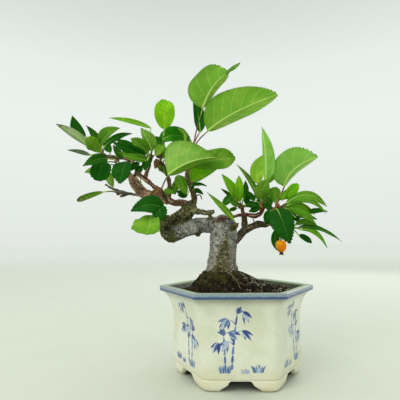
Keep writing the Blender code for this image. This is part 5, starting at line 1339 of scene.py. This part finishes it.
def fine_blade(leaf, rng):
    """Points, faces and stored numbers of one finished blade."""
    teeth = max(5, round(leaf.length / TOOTH_PITCH))
    t = np.linspace(0, 1, 2 * teeth + 1)
    tooth = np.where(np.arange(len(t)) % 2 == 1, 1.0, -0.35)
    side, face = leaf.frame(t)
    bend = math.radians(-leaf.fold if leaf.under else leaf.fold)
    columns = int(np.clip(max(leaf.widths.values()) / 1.0, 5, 13))
    q_steps = np.linspace(0, 1, columns + 1)[1:]
    veins = max(4, round(leaf.length / VEIN_PITCH / (1.1 if leaf.length < BIG_LEAF else 2.7)))
    tooth_size = float(np.clip(0.045 * max(leaf.widths.values()), 0.12, 0.5))
    phase = rng.uniform(0, math.tau)
    waves = rng.uniform(1.6, 2.6)
    grid = []
    notes = []
    for hand, q in [(-1, q) for q in q_steps[::-1]] + [(1, 0.0)] + [(1, q) for q in q_steps]:
        reach = leaf.widths[hand]
        width = np.maximum(reach * share_of_width(t, leaf.widest[hand], leaf.blunt), 0.14)
        saw = tooth * np.minimum(tooth_size, width * 0.3) * q**5
        out = width * q + saw
        forward = 0.55 * tooth * q**5 / (2 * teeth)
        vein = (t - 0.30 * q**1.15 * min(1.0, 14 / leaf.length + 0.45)) * veins
        quilt = (np.abs(np.sin(math.pi * vein)) - 0.6) * 4 * q * (1 - q) * min(0.45, 0.05 * reach)
        wave = np.sin(math.tau * waves * t + phase + 1.7 * hand) * q**2 * min(0.8, 0.06 * reach)
        arch = width * math.sin(bend) * q * (1.3 - 0.3 * q**2)
        sign = -1 if leaf.under else 1
        lift = arch + sign * quilt + wave
        place = leaf.rib(np.clip(t + forward, 0, 1)) + side * (hand * out * math.cos(bend))[:, None]
        half = 0.2 * (1 - 0.5 * q)
        grid.append((place + face * lift[:, None], face * half))
        notes.append(np.column_stack([out * hand, vein, t, np.full(len(t), q)]))
    count = len(t)
    wide = len(grid)
    points = [place + lift for place, lift in grid] + [place - lift for place, lift in grid]
    faces = []
    low = wide * count
    for c in range(wide - 1):
        for j in range(count - 1):
            a = c * count + j
            faces.append((a, a + 1, a + 1 + count, a + count))
            faces.append((low + a, low + a + count, low + a + count + 1, low + a + 1))
    for c in (0, wide - 1):
        for j in range(count - 1):
            a = c * count + j
            faces.append((a, a + 1, low + a + 1, low + a))
    for j in (0, count - 1):
        for c in range(wide - 1):
            a = c * count + j
            faces.append((a, a + count, low + a + count, low + a))
    pitch = leaf.length / veins
    return np.concatenate(points), faces, np.concatenate(notes + notes), pitch


# %% [markdown]
# One finish serves every leaf. A leaf stores its own green, its distance from the midrib, its place along
# the blade and a coordinate that passes a whole number at each side vein, and the finish draws the ribs
# from these. The underside is paler and duller than the top. Painted sheen lightens the top between its
# side veins and in patches, and the narrow half of a few leaves.

# %% Leaves: finish
leaf_finish, graph, shader, place = new_finish("leaf", 0.46, 0.06)
green = graph.note("green", "Color")
below = graph.note("below")
rib_far = graph.calc("ABSOLUTE", graph.note("rib"))
along = graph.note("along")
vein_far = graph.calc("MULTIPLY", graph.calc("PINGPONG", graph.note("vein"), 0.5), graph.note("pitch"))
mottle = graph.ease(graph.clouds(place, 0.07, 2.0, 0.5), 0.34, 0.66, 0.92, 1.08)
# on the top side: painted shade beside the side veins and painted sheen between them; underneath, paler
# beside the veins
beside = graph.calc("MULTIPLY_ADD", below, 0.16, 0.9)
between = graph.blend(graph.ease(vein_far, 0.15, 1.2), beside, graph.calc("MULTIPLY_ADD", below, -0.08, 1.06))
green = graph.times(green, graph.calc("MULTIPLY", mottle, between))
warm = graph.ease(graph.clouds(place, 0.12, 2.0), 0.5, 0.7, 0.0, 0.2)
# painted sheen: pale bluish patches of sky reflection, mostly on the top side
sky_sheen = graph.ease(graph.clouds(place, 0.10, 3.0), 0.50, 0.62)
sky_sheen = graph.calc("MULTIPLY", sky_sheen, graph.calc("MULTIPLY_ADD", below, -0.5, 0.8))
for share, red, pure, blue in (
    (warm, 1.5, 1.10, 0.8), (sky_sheen, 1.9, 1.24, 2.2),
    (graph.note("narrow_half_sheen"), 1.6, 1.3, 2.4), (graph.note("deep"), 0.42, 0.55, 0.14),
):
    green = graph.blend(share, green, graph.filtered(green, (red, pure, blue, 1.0)))
green = graph.times(green, graph.ease(graph.note("across"), 0.88, 1.0, 1.0, 0.76))
net = graph.ease(graph.cells(place, 1.25, "DISTANCE_TO_EDGE"), 0.0, 0.09, 1.0, 0.0)
side_vein = graph.ease(vein_far, 0.12, 0.42, 1.0, 0.0)
side_vein = graph.calc("MULTIPLY", side_vein, graph.ease(graph.note("across"), 0.6, 1.0, 1.0, 0.15))
faint = graph.ease(graph.clouds(place, 0.13), 0.40, 0.58, 0.5, 1.0)
side_vein = graph.calc("MULTIPLY", side_vein, faint)
rib_wide = graph.calc("MULTIPLY", graph.note("pitch"), graph.calc("MULTIPLY_ADD", along, -0.12, 0.16))
midrib = graph.ease(graph.calc("DIVIDE", rib_far, rib_wide), 0.45, 1.0, 1.0, 0.0)
top_vein = graph.blend(graph.note("ribbed"), green, tint(186, 222, 112))
under_vein = graph.blend(0.8, green, tint(190, 226, 120))
drawn = graph.calc("MULTIPLY", side_vein, graph.calc("MULTIPLY_ADD", below, 0.05, 0.4))
drawn = graph.calc("MAXIMUM", drawn, graph.calc("MULTIPLY", midrib, 0.9))
drawn = graph.calc("MAXIMUM", drawn, graph.calc("MULTIPLY", net, 0.06))
green = graph.blend(drawn, green, graph.blend(below, top_vein, under_vein))
blight = graph.calc("MULTIPLY", graph.note("blight"), graph.ease(graph.clouds(place, 0.5, 3.0), 0.4, 0.55))
feed(graph, shader, Base_Color=graph.blend(blight, green, tint(84, 70, 44)))
sunk = graph.calc("MULTIPLY_ADD", net, 0.3, graph.calc("MULTIPLY", side_vein, 0.7))
relief_height = graph.calc("MULTIPLY", sunk, -1.0)
sense = graph.calc("MULTIPLY_ADD", below, -2.0, 1.0)
feed(graph, shader, Normal=bump(graph, graph.calc("MULTIPLY", relief_height, sense), 0.3, 0.9))
feed(graph, shader, Roughness=graph.calc("MULTIPLY_ADD", below, 0.2, 0.44))

# %% [markdown]
# The solids stop at the leaves that make the outline. Small blades fill the clusters behind it.

# %% Leaves: small ones
def small(letter, base, middle, tip, half_width):
    """A little blade with its green letter, and the fold and outline that most leaves have."""
    return letter, (base, middle, tip, half_width, half_width, (0, 0), 0, 18, 0.45, 2.0)


SMALL_LEAVES = {
    "cluster_shoot": [
        small("M", (-67.5, 158.9, -22), (-78.0, 161.8, -27), (-88.5, 164.3, -28), 2.7),
        small("H", (-61.6, 163.2, -8), (-57.8, 167.8, -12), (-53.6, 171.2, -12), 3.3),
        small("D", (-74.0, 157.6, -4), (-78.6, 154.6, -6), (-82.6, 150.6, -6), 2.7),
        small("D", (-72.0, 155.6, -3), (-74.6, 150.8, -5), (-78.6, 146.4, -6), 2.6),
    ],
    "left_tip_shoot": [
        small("K", (-87.4, 160.4, -3), (-91.2, 166.2, -6), (-95.6, 172.2, -7), 2.9),
    ],
    "petal_shoot": [
        small("M", (-54.6, 134.4, -18), (-51.0, 134.2, -18), (-46.6, 132.4, -16), 2.2),
    ],
    "inner_shoot": [
        small("D", (-38.4, 132.6, -8), (-41.6, 133.0, -9), (-45.0, 134.4, -9), 1.8),
        small("D", (-36.0, 131.0, -5), (-39.6, 130.4, -7), (-43.6, 131.2, -7), 1.9),
        small("M", (-42.4, 143.8, -2), (-45.2, 138.0, -2), (-45.8, 131.4, -2), 3.1),
    ],
    "tall_leaf_shoot": [
        small("O", (-59.8, 156.0, 6), (-56.6, 152.2, 4), (-52.4, 147.6, 3), 2.1),
        small("L", (-55.8, 160.6, 0), (-54.2, 165.2, -2), (-54.6, 170.8, -2), 3.0),
    ],
    "elbow_shoot": [
        small("U", (-58.8, 121.6, -24), (-57.4, 117.4, -27), (-56.2, 110.8, -27), 5.6),
    ],
    "upright_shoot": [
        small("D", (12.2, 121.0, 6), (9.6, 127.0, 8), (8.6, 134.0, 8), 2.7),
        small("K", (15.0, 119.6, 5), (19.6, 124.6, 8), (21.4, 131.6, 8), 2.9),
        small("M", (3.6, 121.4, 0), (0.0, 124.4, 1), (-4.2, 128.6, 1), 2.4),
    ],
    "front_right_shoot": [
        small("B", (36.4, 125.6, -4), (38.4, 129.6, -6), (40.6, 134.0, -7), 2.4),
    ],
    "draping_shoot": [
        small("D", (29.4, 118.6, -10), (26.4, 120.6, -9), (22.6, 123.4, -8), 2.4),
    ],
    "tall_right_shoot": [
        small("M", (22.6, 122.8, 5), (26.6, 128.0, 9), (28.6, 135.6, 9), 3.1),
        small("D", (19.6, 120.8, -6), (15.8, 119.0, -8), (11.4, 117.4, -8), 2.5),
    ],
    "fan_shoot": [
        small("M", (36.4, 120.6, 3), (50.0, 121.6, 6), (61.6, 114.4, 6), 2.7),
        small("D", (36.0, 117.4, 4), (44.0, 113.6, 8), (52.6, 107.6, 8), 2.8),
        small("G", (40.0, 118.8, -3), (51.0, 115.6, -5), (62.4, 106.8, -7), 2.6),
    ],
    "low_right_shoot": [
        small("L", (46.0, 106.0, 3), (52.0, 109.6, 3), (60.0, 109.4, 3), 1.9),
    ],
}

# %% Leaves: all blades
# Young, pale leaves have a pale midrib on top as well.
RIBBED = {"A": 0.5, "B": 0.5, "H": 0.6, "N": 0.55, "P": 0.55, "Y": 0.4, "O": 0.35, "D": 0.08,
          "K": 0.14, "U": 0.14}
# The narrow half of these leaves is turned to the sky and gets a painted sky sheen, paler and bluer; one leaf
# is deeper green along its edge and tip.
SHEENED_HALVES = [("crown_shoot", 0), ("crown_shoot", 2), ("front_right_shoot", 0)]
DEEPENED = [("petal_shoot", 0)]
BLIGHTED = [("single_leaf", 0), ("left_tip_shoot", 0)]
# Two blades differ from their solids: a narrow half is widest far out, and one is turned to the front.
LATE_HALVES = {("crown_shoot", 2): 0.64, ("crown_shoot", 1): 0.6}
OPENED = {("crown_shoot", 1): (8, 16)}
blades = {}
for name, _, _, rows in SHOOTS:
    rng = random.Random(name)
    points = []
    faces = []
    keys = ("rib", "vein", "along", "across", "pitch", "below", "blight", "narrow_half_sheen", "ribbed", "deep")
    notes = {key: [] for key in keys}
    greens = []
    blades[name] = []
    extra = SMALL_LEAVES.get(name, [])
    all_rows = rows + [row for _, row in extra]
    letters = LEAF_GREENS[name] + "".join(letter for letter, _ in extra)
    for row, letter in zip(all_rows, letters):
        which = (name, len(blades[name]))
        leaf = Blade(row)
        leaf.widest[1] = LATE_HALVES.get(which, leaf.widest[1])
        leaf.roll = OPENED.get(which, leaf.roll)
        blades[name].append(leaf)
        made, joined, told, pitch = fine_blade(leaf, rng)
        pile_up(points, faces, made, joined)
        half = len(made) // 2
        for key, column in zip(("rib", "vein", "along", "across"), told.T):
            notes[key].extend(column)
        notes["pitch"].extend([pitch] * len(made))
        notes["ribbed"].extend([RIBBED.get(letter, 0.3)] * len(made))
        # painted sheen on the narrow half of the listed leaves
        narrow = -1 if leaf.widths[-1] < leaf.widths[1] else 1
        on_narrow = narrow * told[:, 0] > 0.3
        notes["narrow_half_sheen"].extend((which in SHEENED_HALVES) * 0.8 * on_narrow)
        notes["deep"].extend((which in DEEPENED) * np.maximum(on_narrow, np.clip(told[:, 2] * 2 - 0.9, 0, 1)))
        notes["below"].extend([float(leaf.under)] * half + [1.0 - leaf.under] * half)
        notes["blight"].extend((which in BLIGHTED) * np.clip((told[:, 2] - 0.62) * 3, 0, 1))
        vary = rng.uniform(0.94, 1.06)
        top = tint(*(channel * vary for channel in TOP_GREENS[letter]))
        under = tint(*(channel * vary for channel in UNDER_GREENS[letter]))
        greens.extend([under if leaf.under else top] * half + [top if leaf.under else under] * half)
    piece = new_piece(name + "_leaves", points, faces, leaf_finish)
    turn_outward(piece)
    for key, column in notes.items():
        paint(piece, key, column)
    paint(piece, "green", greens)
    set_in_frame(piece, name, name)

# %% [markdown]
# Shoots, leaf stalks and raised midribs are round and taper along a path. Geometry Nodes sweeps a small
# circle along lines, scaled by a thickness stored on each point. On the tree they are one growth.

# %% Stalks: sweep tree
sweep, graph, start, end = geometry_tree("stalk_sweep", [
    ("Sides", "NodeSocketInt", 8), ("Thickness", "NodeSocketFloat", 1.0),
    ("Material", "NodeSocketMaterial", None),
])
thick = graph.add("GeometryNodeInputNamedAttribute", {"Name": "thick"}, "Attribute", data_type="FLOAT")
curve = graph.add("GeometryNodeMeshToCurve", {"Mesh": start["Geometry"]})
circle = graph.add("GeometryNodeCurvePrimitiveCircle", {"Resolution": start["Sides"], 4: 1.0})
scale = graph.calc("MULTIPLY", thick, start["Thickness"])
sweeping = {"Curve": curve, "Profile Curve": circle, "Scale": scale, "Fill Caps": True}
swept = graph.add("GeometryNodeCurveToMesh", sweeping)
smooth = graph.add("GeometryNodeSetShadeSmooth", {"Geometry": swept})
close_tree(graph, smooth, start["Material"], end)
print("nodes in the sweep tree", len(sweep.nodes))


def swept_piece(name, lines, sides, material):
    """One mesh from lines; each has rows of place, radius in millimetres and tint."""
    rows = np.concatenate(lines)
    edges = []
    first = 0
    for line in lines:
        edges.extend((first + i, first + i + 1) for i in range(len(line) - 1))
        first += len(line)
    made = new_piece(name, rows[:, :3], [], edges=edges)
    paint(made, "thick", rows[:, 3] * MM)
    paint(made, "tint", rows[:, 4])
    return run_tree(made, sweep, Sides=sides, Material=material)


# %% [markdown]
# A leaf stalk sags a little from the stem to its blade, and the midrib goes on as a fine raised line.

# %% Stalks: finish and pieces
stalk_finish, graph, shader, place = new_finish("green_stalk", 0.5, 0.25)
stalk = graph.graded(
    graph.uneven_note(place, "tint", 0.6, 0.22), (180, 126, 98),
    (-1.0, -0.1, (100, 66, 46)), (0.0, 0.5, (106, 122, 48)), (0.45, 0.85, (190, 222, 112)),
)
feed(graph, shader, Base_Color=stalk, Normal=bump(graph, graph.clouds(place, 2.0), 0.1))

# Some stems and leaf stalks are flushed pink, and one stem is slim.
PINK_STEMS = {"front_right_shoot": 0.72}
PINK_STALKS = {"crown_shoot": -0.8, "petal_shoot": -0.75, "front_right_shoot": -0.5}
# The tip of the first crown leaf is a second, narrow blade that grows on from its midrib.
GROWS_ON = {("crown_shoot", 1): 0}
RIB_SHARES = np.linspace(0.02, 0.94, 14)
for name, limb, stem, rows in SHOOTS:
    rng = random.Random("stalks " + name)
    twig = LIMBS[limb]
    end_place = seen(twig[-1])
    axis = end_place - seen(twig[-2])
    axis /= np.linalg.norm(axis)
    path = [end_place - axis * 1.2, end_place + axis * 1.9] + [seen(place) for place in stem]
    radii = [min(twig[-1][3], 1.35)] + [1.2 - 0.12 * k for k in range(len(path) - 1)]
    path.append(path[-1] + (path[-1] - path[-2]) * 0.06)
    radii.append(0.5)
    slim = PINK_STEMS.get(name, 1.0)
    shade = -0.9 if name in PINK_STEMS else 0.05
    stem_rows = []
    for k, (spot, r) in enumerate(zip(path, radii)):
        stem_rows.append([*spot, r * slim, shade + 0.3 * k / len(path)])
    lines = [smooth_line(stem_rows, 0.7)]
    for n, leaf in enumerate(blades[name]):
        where_on = rows[n][10] if n < len(rows) and len(rows[n]) > 10 else len(path) - 2
        back = path[where_on] - path[where_on - 1]
        root = path[where_on] - back / np.linalg.norm(back) * (0.7 + 0.45 * (n % 3))
        foot = leaf.rib(0.03)
        if (name, n) in GROWS_ON:
            root = blades[name][GROWS_ON[name, n]].rib(0.93)
        reach = np.linalg.norm(foot - root)
        middle = (root + foot) / 2 + np.array([0, 0, 0.07 * reach])
        red = PINK_STALKS.get(name, rng.uniform(0.0, 0.35))
        thin = min(1.0, leaf.length / 26 + 0.35)
        mid_red = red + 0.3 if red >= 0 else -0.05
        stalk = [[*root, 0.62 * thin, red], [*middle, 0.52 * thin, mid_red], [*foot, 0.52 * thin, 0.8]]
        lines.append(smooth_line(stalk, 0.8))
        _, face = leaf.frame(RIB_SHARES)
        ribs = leaf.rib(RIB_SHARES) + face * (0.14 if leaf.under else -0.14)
        size = min(1.0, leaf.length / 34 + 0.1)
        taper = 0.54 * size * (1 - 0.8 * RIB_SHARES)
        lines.append(np.column_stack([ribs, taper, np.full(len(ribs), 0.45 + 0.5 * size)]))
    set_in_frame(swept_piece(name + "_stalks", lines, 8, stalk_finish), name)

# %% [markdown]
# Young crabapple wood is ribbed with fine ridges, pale pink where the skin has lifted and dark in between;
# the pale pink ones also stand as painted highlights. Each ridge follows its limb, is dropped on the nearest
# bark and swept like the stalks.

# %% Trunk: ridges
RIDGES = {
    "left_limb": 60, "low_left_limb": 46, "cluster_twig": 18, "crown_twig": 26, "right_limb": 26,
    "across_twig": 20,
}
ridge_finish, graph, shader, place = new_finish("bark_ridges", 0.85, 0.2)
mix = graph.uneven_note(place, "tint", 0.8, 0.3)
# pale pink ridges: lifted skin and painted highlights
ridge_tone = graph.graded(mix, (40, 30, 22), (0.0, 0.45, (122, 84, 66)), (0.45, 1.0, (214, 178, 158)))
feed(graph, shader, Base_Color=ridge_tone)
bark_tree = BVHTree.FromObject(bark, bpy.context.evaluated_depsgraph_get())
ridge_rng = random.Random("ridges")
lines = []
for name, count in RIDGES.items():
    path = smooth_line([[*seen(row), row[3]] for row in LIMBS[name]], 0.9)
    ahead = np.gradient(path[:, :3], axis=0)
    ahead /= np.linalg.norm(ahead, axis=1)[:, None]
    for _ in range(count):
        first = ridge_rng.randrange(0, max(1, len(path) - 6))
        last = min(len(path), first + ridge_rng.randrange(5, 14))
        out = np.array([ridge_rng.gauss(0, 1) for _ in range(3)])
        thick = ridge_rng.uniform(0.2, 0.42)
        shade = ridge_rng.random()
        rows = []
        for k in range(first, last):
            across = out - ahead[k] * (out @ ahead[k])
            across /= np.linalg.norm(across)
            spot = Vector((path[k, :3] + across * path[k, 3] + HOME) * MM)
            hit, normal = bark_tree.find_nearest(spot)[:2]
            taper = math.sin(math.pi * (k - first + 0.5) / (last - first)) ** 0.6
            rows.append([*(np.array(hit) / MM - HOME), thick * taper, shade])
        lines.append(np.array(rows))
ridges = swept_piece("bark_ridges", lines, 6, ridge_finish)
set_in_frame(ridges, "trunk")
print("ridges", len(lines))

# %% [markdown]
# The one fruit is a small pome, orange on its way to red, redder and darker low down, partly as painted
# shade. It narrows to the dried calyx that points down. It is turned from a profile, and its dimpled top
# holds the stalk.

# %% Fruit
FRUIT_MIDDLE = seen((35.1, 90.8, -9))
FRUIT_R = 3.9
FRUIT_HALF = 4.8
fruit_rings = []
for k in range(1, 40):
    angle = math.pi * k / 40
    narrow = 1 - 0.11 * math.cos(angle)
    dimple = 0.9 * math.exp(-((math.pi - angle) / 0.42) ** 2) - 0.4 * math.exp(-(angle / 0.3) ** 2)
    turn = np.arange(48) * math.tau / 48
    lobed = 1 + 0.018 * np.cos(5 * turn) * math.cos(angle)
    r = FRUIT_R * narrow * math.sin(angle) ** 0.86 * lobed
    z = np.full(48, -FRUIT_HALF * math.cos(angle) - dimple)
    fruit_rings.append(FRUIT_MIDDLE + np.column_stack([r * np.cos(turn), r * np.sin(turn), z]))
points, faces = closed_loft(fruit_rings)
fruit_finish, graph, shader, place = new_finish("fruit_skin", 0.3, 0.15)
skin = graph.graded(graph.clouds(place, 0.16, 3.0), (255, 176, 0), (0.38, 0.62, (255, 138, 0)))
# darker red towards the bottom: ripening together with painted shade of the lower side
low = graph.ease(height_above_table(graph, place), FRUIT_MIDDLE[2] + 1.0, FRUIT_MIDDLE[2] - 4.8, 0.0, 0.45)
skin = graph.blend(low, skin, tint(204, 76, 4))
dots = graph.ease(graph.cells(graph.shift(place, 0.8, 0.6), 1.1), 0.07, 0.13, 0.6, 0.0)
skin = graph.blend(dots, skin, tint(250, 176, 30))
feed(graph, shader, Base_Color=skin, Normal=bump(graph, graph.clouds(place, 1.5), 0.06, 0.5))
fruit = new_piece("fruit_body", points, faces, fruit_finish)
turn_outward(fruit)
set_in_frame(fruit, "fruit", "fruit")

# %% Fruit: calyx and stalk
dry_finish, graph, shader, place = new_finish("dry_scales", 0.85)
dry = graph.graded(graph.clouds(place, 0.9, 4.0), (26, 20, 12), (0.35, 0.65, (74, 54, 30)))
feed(graph, shader, Base_Color=dry, Normal=bump(graph, graph.clouds(place, 2.2), 0.2))
lines = []
for k in range(5):
    turn = math.tau * k / 5
    out = np.array([math.cos(turn), math.sin(turn), 0])
    low = FRUIT_MIDDLE - np.array([0, 0, FRUIT_HALF - 0.7])
    drops = [(0.3, 0.0, 0.75), (0.8, -1.0, 0.62), (1.2, -1.9, 0.42), (1.5, -2.5, 0.14)]
    rows = [[*(low + out * far + np.array([0, 0, drop])), r, 0.0] for far, drop, r in drops]
    lines.append(smooth_line(rows, 0.35))
set_in_frame(swept_piece("fruit_calyx", lines, 8, dry_finish), "fruit")
top = FRUIT_MIDDLE + np.array([0, 0, FRUIT_HALF - 1.6])
stalk_rows = [[*(top + np.array(step)), r, shade] for step, r, shade in (
    ((0, 0, 0), 0.7, 0.3), ((0.2, 0.4, 4.4), 0.55, 0.3), ((0, 1.6, 8.8), 0.6, 0.15),
)]
set_in_frame(swept_piece("fruit_stalk", [smooth_line(stalk_rows, 0.5)], 10, stalk_finish), "fruit")

# %% [markdown]
# Swollen buds sit where shoots leave their twigs. A bud is a pointed egg wrapped in scales, red-brown at its
# foot and green-orange at its tip. It is lofted ring by ring, and a low spiral wave makes the scales.

# %% Buds
BUDS = [
    ((20.8, 120.4, -3), (-0.1, 0, 1), 2.1, 3.0), ((33.9, 121.0, 0), (0.3, 0, 1), 1.8, 2.7),
    ((-92.4, 159.8, 5), (-0.7, 0, -0.6), 1.6, 2.9), ((-57.0, 157.2, 7), (-0.3, 0, 1), 1.6, 2.4),
    ((-31.8, 166.8, 4), (0.1, 0, 1), 1.5, 2.4), ((-104.2, 164.6, 1), (-1, 0, 0.4), 1.2, 2.0),
    ((6.4, 120.4, -1), (-0.2, 0, 1), 1.4, 2.2),
]
BUD_RINGS = 16
turn = np.arange(20) * math.tau / 20
bud_points = []
bud_faces = []
ripe = []
for spot, aim, r, half in BUDS:
    aim = Vector(aim).normalized()
    side = aim.orthogonal().normalized()
    over = aim.cross(side)
    made_rings = []
    for k in range(BUD_RINGS):
        share = (k + 0.5) / BUD_RINGS
        scales = 1 + 0.10 * np.sin(3 * turn + 15 * share)
        reach = r * math.sin(math.pi * share**0.8) ** 0.75 * (1 - 0.2 * share) * scales
        middle = seen(spot) + np.array(aim) * half * (2 * share - 1)
        flat = np.outer(np.cos(turn) * reach, side) + np.outer(np.sin(turn) * reach, over)
        made_rings.append(middle + flat)
        ripe.extend(share + 0.25 * (scales - 1) / 0.10)
    pile_up(bud_points, bud_faces, *closed_loft(made_rings))
bud_finish, graph, shader, place = new_finish("bud_skin", 0.55, 0.3)
ripeness = graph.uneven_note(place, "ripe", 0.7, 0.25)
skin = graph.graded(ripeness, (92, 40, 20), (0.0, 0.55, (168, 84, 36)), (0.6, 1.1, (138, 138, 56)))
feed(graph, shader, Base_Color=skin, Normal=bump(graph, graph.clouds(place, 1.8), 0.15))
buds = new_piece("buds", bud_points, bud_faces, bud_finish)
turn_outward(buds)
paint(buds, "ripe", ripe)
set_in_frame(buds, "trunk")

# %% [markdown]
# Old bud scales stay on as dry brown points, a few twiglets have died and curled, and one pale leaf stalk
# has lost its blade. All are thin things swept along short curved lines.

# %% Bud scales and dead twiglets
rng = random.Random(5)
lines = []
for spot, size in (
    ((-56.4, 156.0, 7), 1.2), ((-94.8, 162.0, 3), 1.1), ((22.0, 118.6, -2), 1.1),
    ((-32.0, 165.0, 4), 1.0), ((6.4, 118.6, -1), 0.9), ((33.0, 118.0, 0), 0.8),
):
    heart = seen(spot)
    for k in range(9):
        around = math.tau * k * 0.382 + rng.uniform(-0.2, 0.2)
        out = np.array([math.cos(around), math.sin(around), rng.uniform(-0.3, 0.9)])
        out /= np.linalg.norm(out)
        middle = heart + out * 1.3 * size
        point = heart + out * 1.8 * size + np.array([0, 0, 0.6 * size])
        rows = [[*(heart + out * 0.5 * size), 0.55 * size, 0], [*middle, 0.42 * size, 0]]
        lines.append(smooth_line(rows + [[*point, 0.1 * size, 0]], 0.5))
TWIGLETS = [
    [(-31.2, 127.0, 0), (-28.6, 130.8, -3), (-25.8, 130.4, -5), (-24.9, 127.4, -5)],
    [(-31.4, 130.0, 3), (-28.2, 133.6, -1), (-25.6, 134.0, -3), (-24.4, 132.4, -4)],
    [(-53.4, 149.8, 5), (-56.0, 151.8, 3), (-58.4, 150.6, 1)],
    [(14.0, 106.2, 0), (15.2, 109.4, -2), (14.2, 111.8, -3)],
]
for rows in TWIGLETS:
    count = len(rows)
    lines.append(smooth_line([[*seen(row), 0.62 - 0.35 * k / count, 0] for k, row in enumerate(rows)], 0.5))
set_in_frame(swept_piece("bud_scales", lines, 6, dry_finish), "trunk")
BARE_STALK = [(-72.6, 140.2, 4), (-73.6, 146.0, 3), (-75.8, 150.4, 2), (-78.4, 152.8, 1)]
bare = smooth_line([[*seen(row), 0.5 - 0.04 * k, 0.85] for k, row in enumerate(BARE_STALK)], 0.6)
set_in_frame(swept_piece("bare_stalk", [bare], 8, stalk_finish), "trunk")

# %% [markdown]
# The surface of the soil shows a few fine roots. They follow the same rule of height as the bed.

# %% Fine roots
root_finish, graph, shader, place = new_finish("fine_roots", 0.8)
pale = graph.graded(graph.clouds(place, 0.5, 3.0), (84, 76, 52), (0.35, 0.65, (150, 144, 118)))
feed(graph, shader, Base_Color=pale)


def lying_root(a, b, sway, r, rng):
    """A fine root that lies on the soil from a to b."""
    rows = []
    a, b = np.array(a, float), np.array(b, float)
    across = np.array([-(b - a)[1], (b - a)[0]]) / np.linalg.norm(b - a)
    for k in range(7):
        share = k / 6
        x, y = a + (b - a) * share + across * sway * (math.sin(math.pi * share) + rng.uniform(-0.35, 0.35))
        rows.append([x, y, soil_height(x, y) + 0.5 + r, r * (1 - 0.5 * share), 0.0])
    return smooth_line(rows, 0.7)


lines = []
for a, b, sway, r in (
    ((-6, -13), (2.5, -30), 1.2, 0.34), ((3.2, -8), (19, -17), -2.0, 0.36), ((1.6, -2), (24, -6), 2.4, 0.4),
):
    lines.append(lying_root(a, b, sway, r, rng))
for _ in range(16):
    turn = rng.uniform(-1.3, 0.9)
    far = rng.uniform(16, 32)
    a = (MOUND_X + far * math.cos(turn), far * math.sin(turn))
    spread = rng.uniform(-0.9, 0.9)
    long = rng.uniform(4, 10)
    b = (a[0] + long * math.cos(turn + spread), a[1] + long * math.sin(turn + spread))
    if math.hypot(*b) < 38:
        lines.append(lying_root(a, b, rng.uniform(-1.5, 1.5), rng.uniform(0.12, 0.2), rng))
set_in_frame(swept_piece("fine_roots", lines, 6, root_finish), "soil")

# %% [markdown]
# The drain screen under the soil keeps its solid and takes a dull black plastic.

# %% Drain screen
screen_finish, graph, shader, place = new_finish("black_screen", 0.6)
feed(graph, shader, Base_Color=graph.blend(graph.clouds(place, 0.8), tint(34, 35, 35), tint(50, 52, 50)))
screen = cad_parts["drain_screen"]
for entry in screen.material_slots:
    entry.material = screen_finish
print("screen slots", len(screen.material_slots))

# %% [markdown]
# The last cell measures the size before and after and prints how far each side has moved, in millimetres.

# %% Size and finish
BOX_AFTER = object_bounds()
sizes = {"before": [list(corner) for corner in BOX_BEFORE], "after": [list(corner) for corner in BOX_AFTER]}
for axis in range(3):
    print("xyz"[axis], [round((BOX_AFTER[end][axis] - BOX_BEFORE[end][axis]) / MM, 2) for end in (0, 1)])
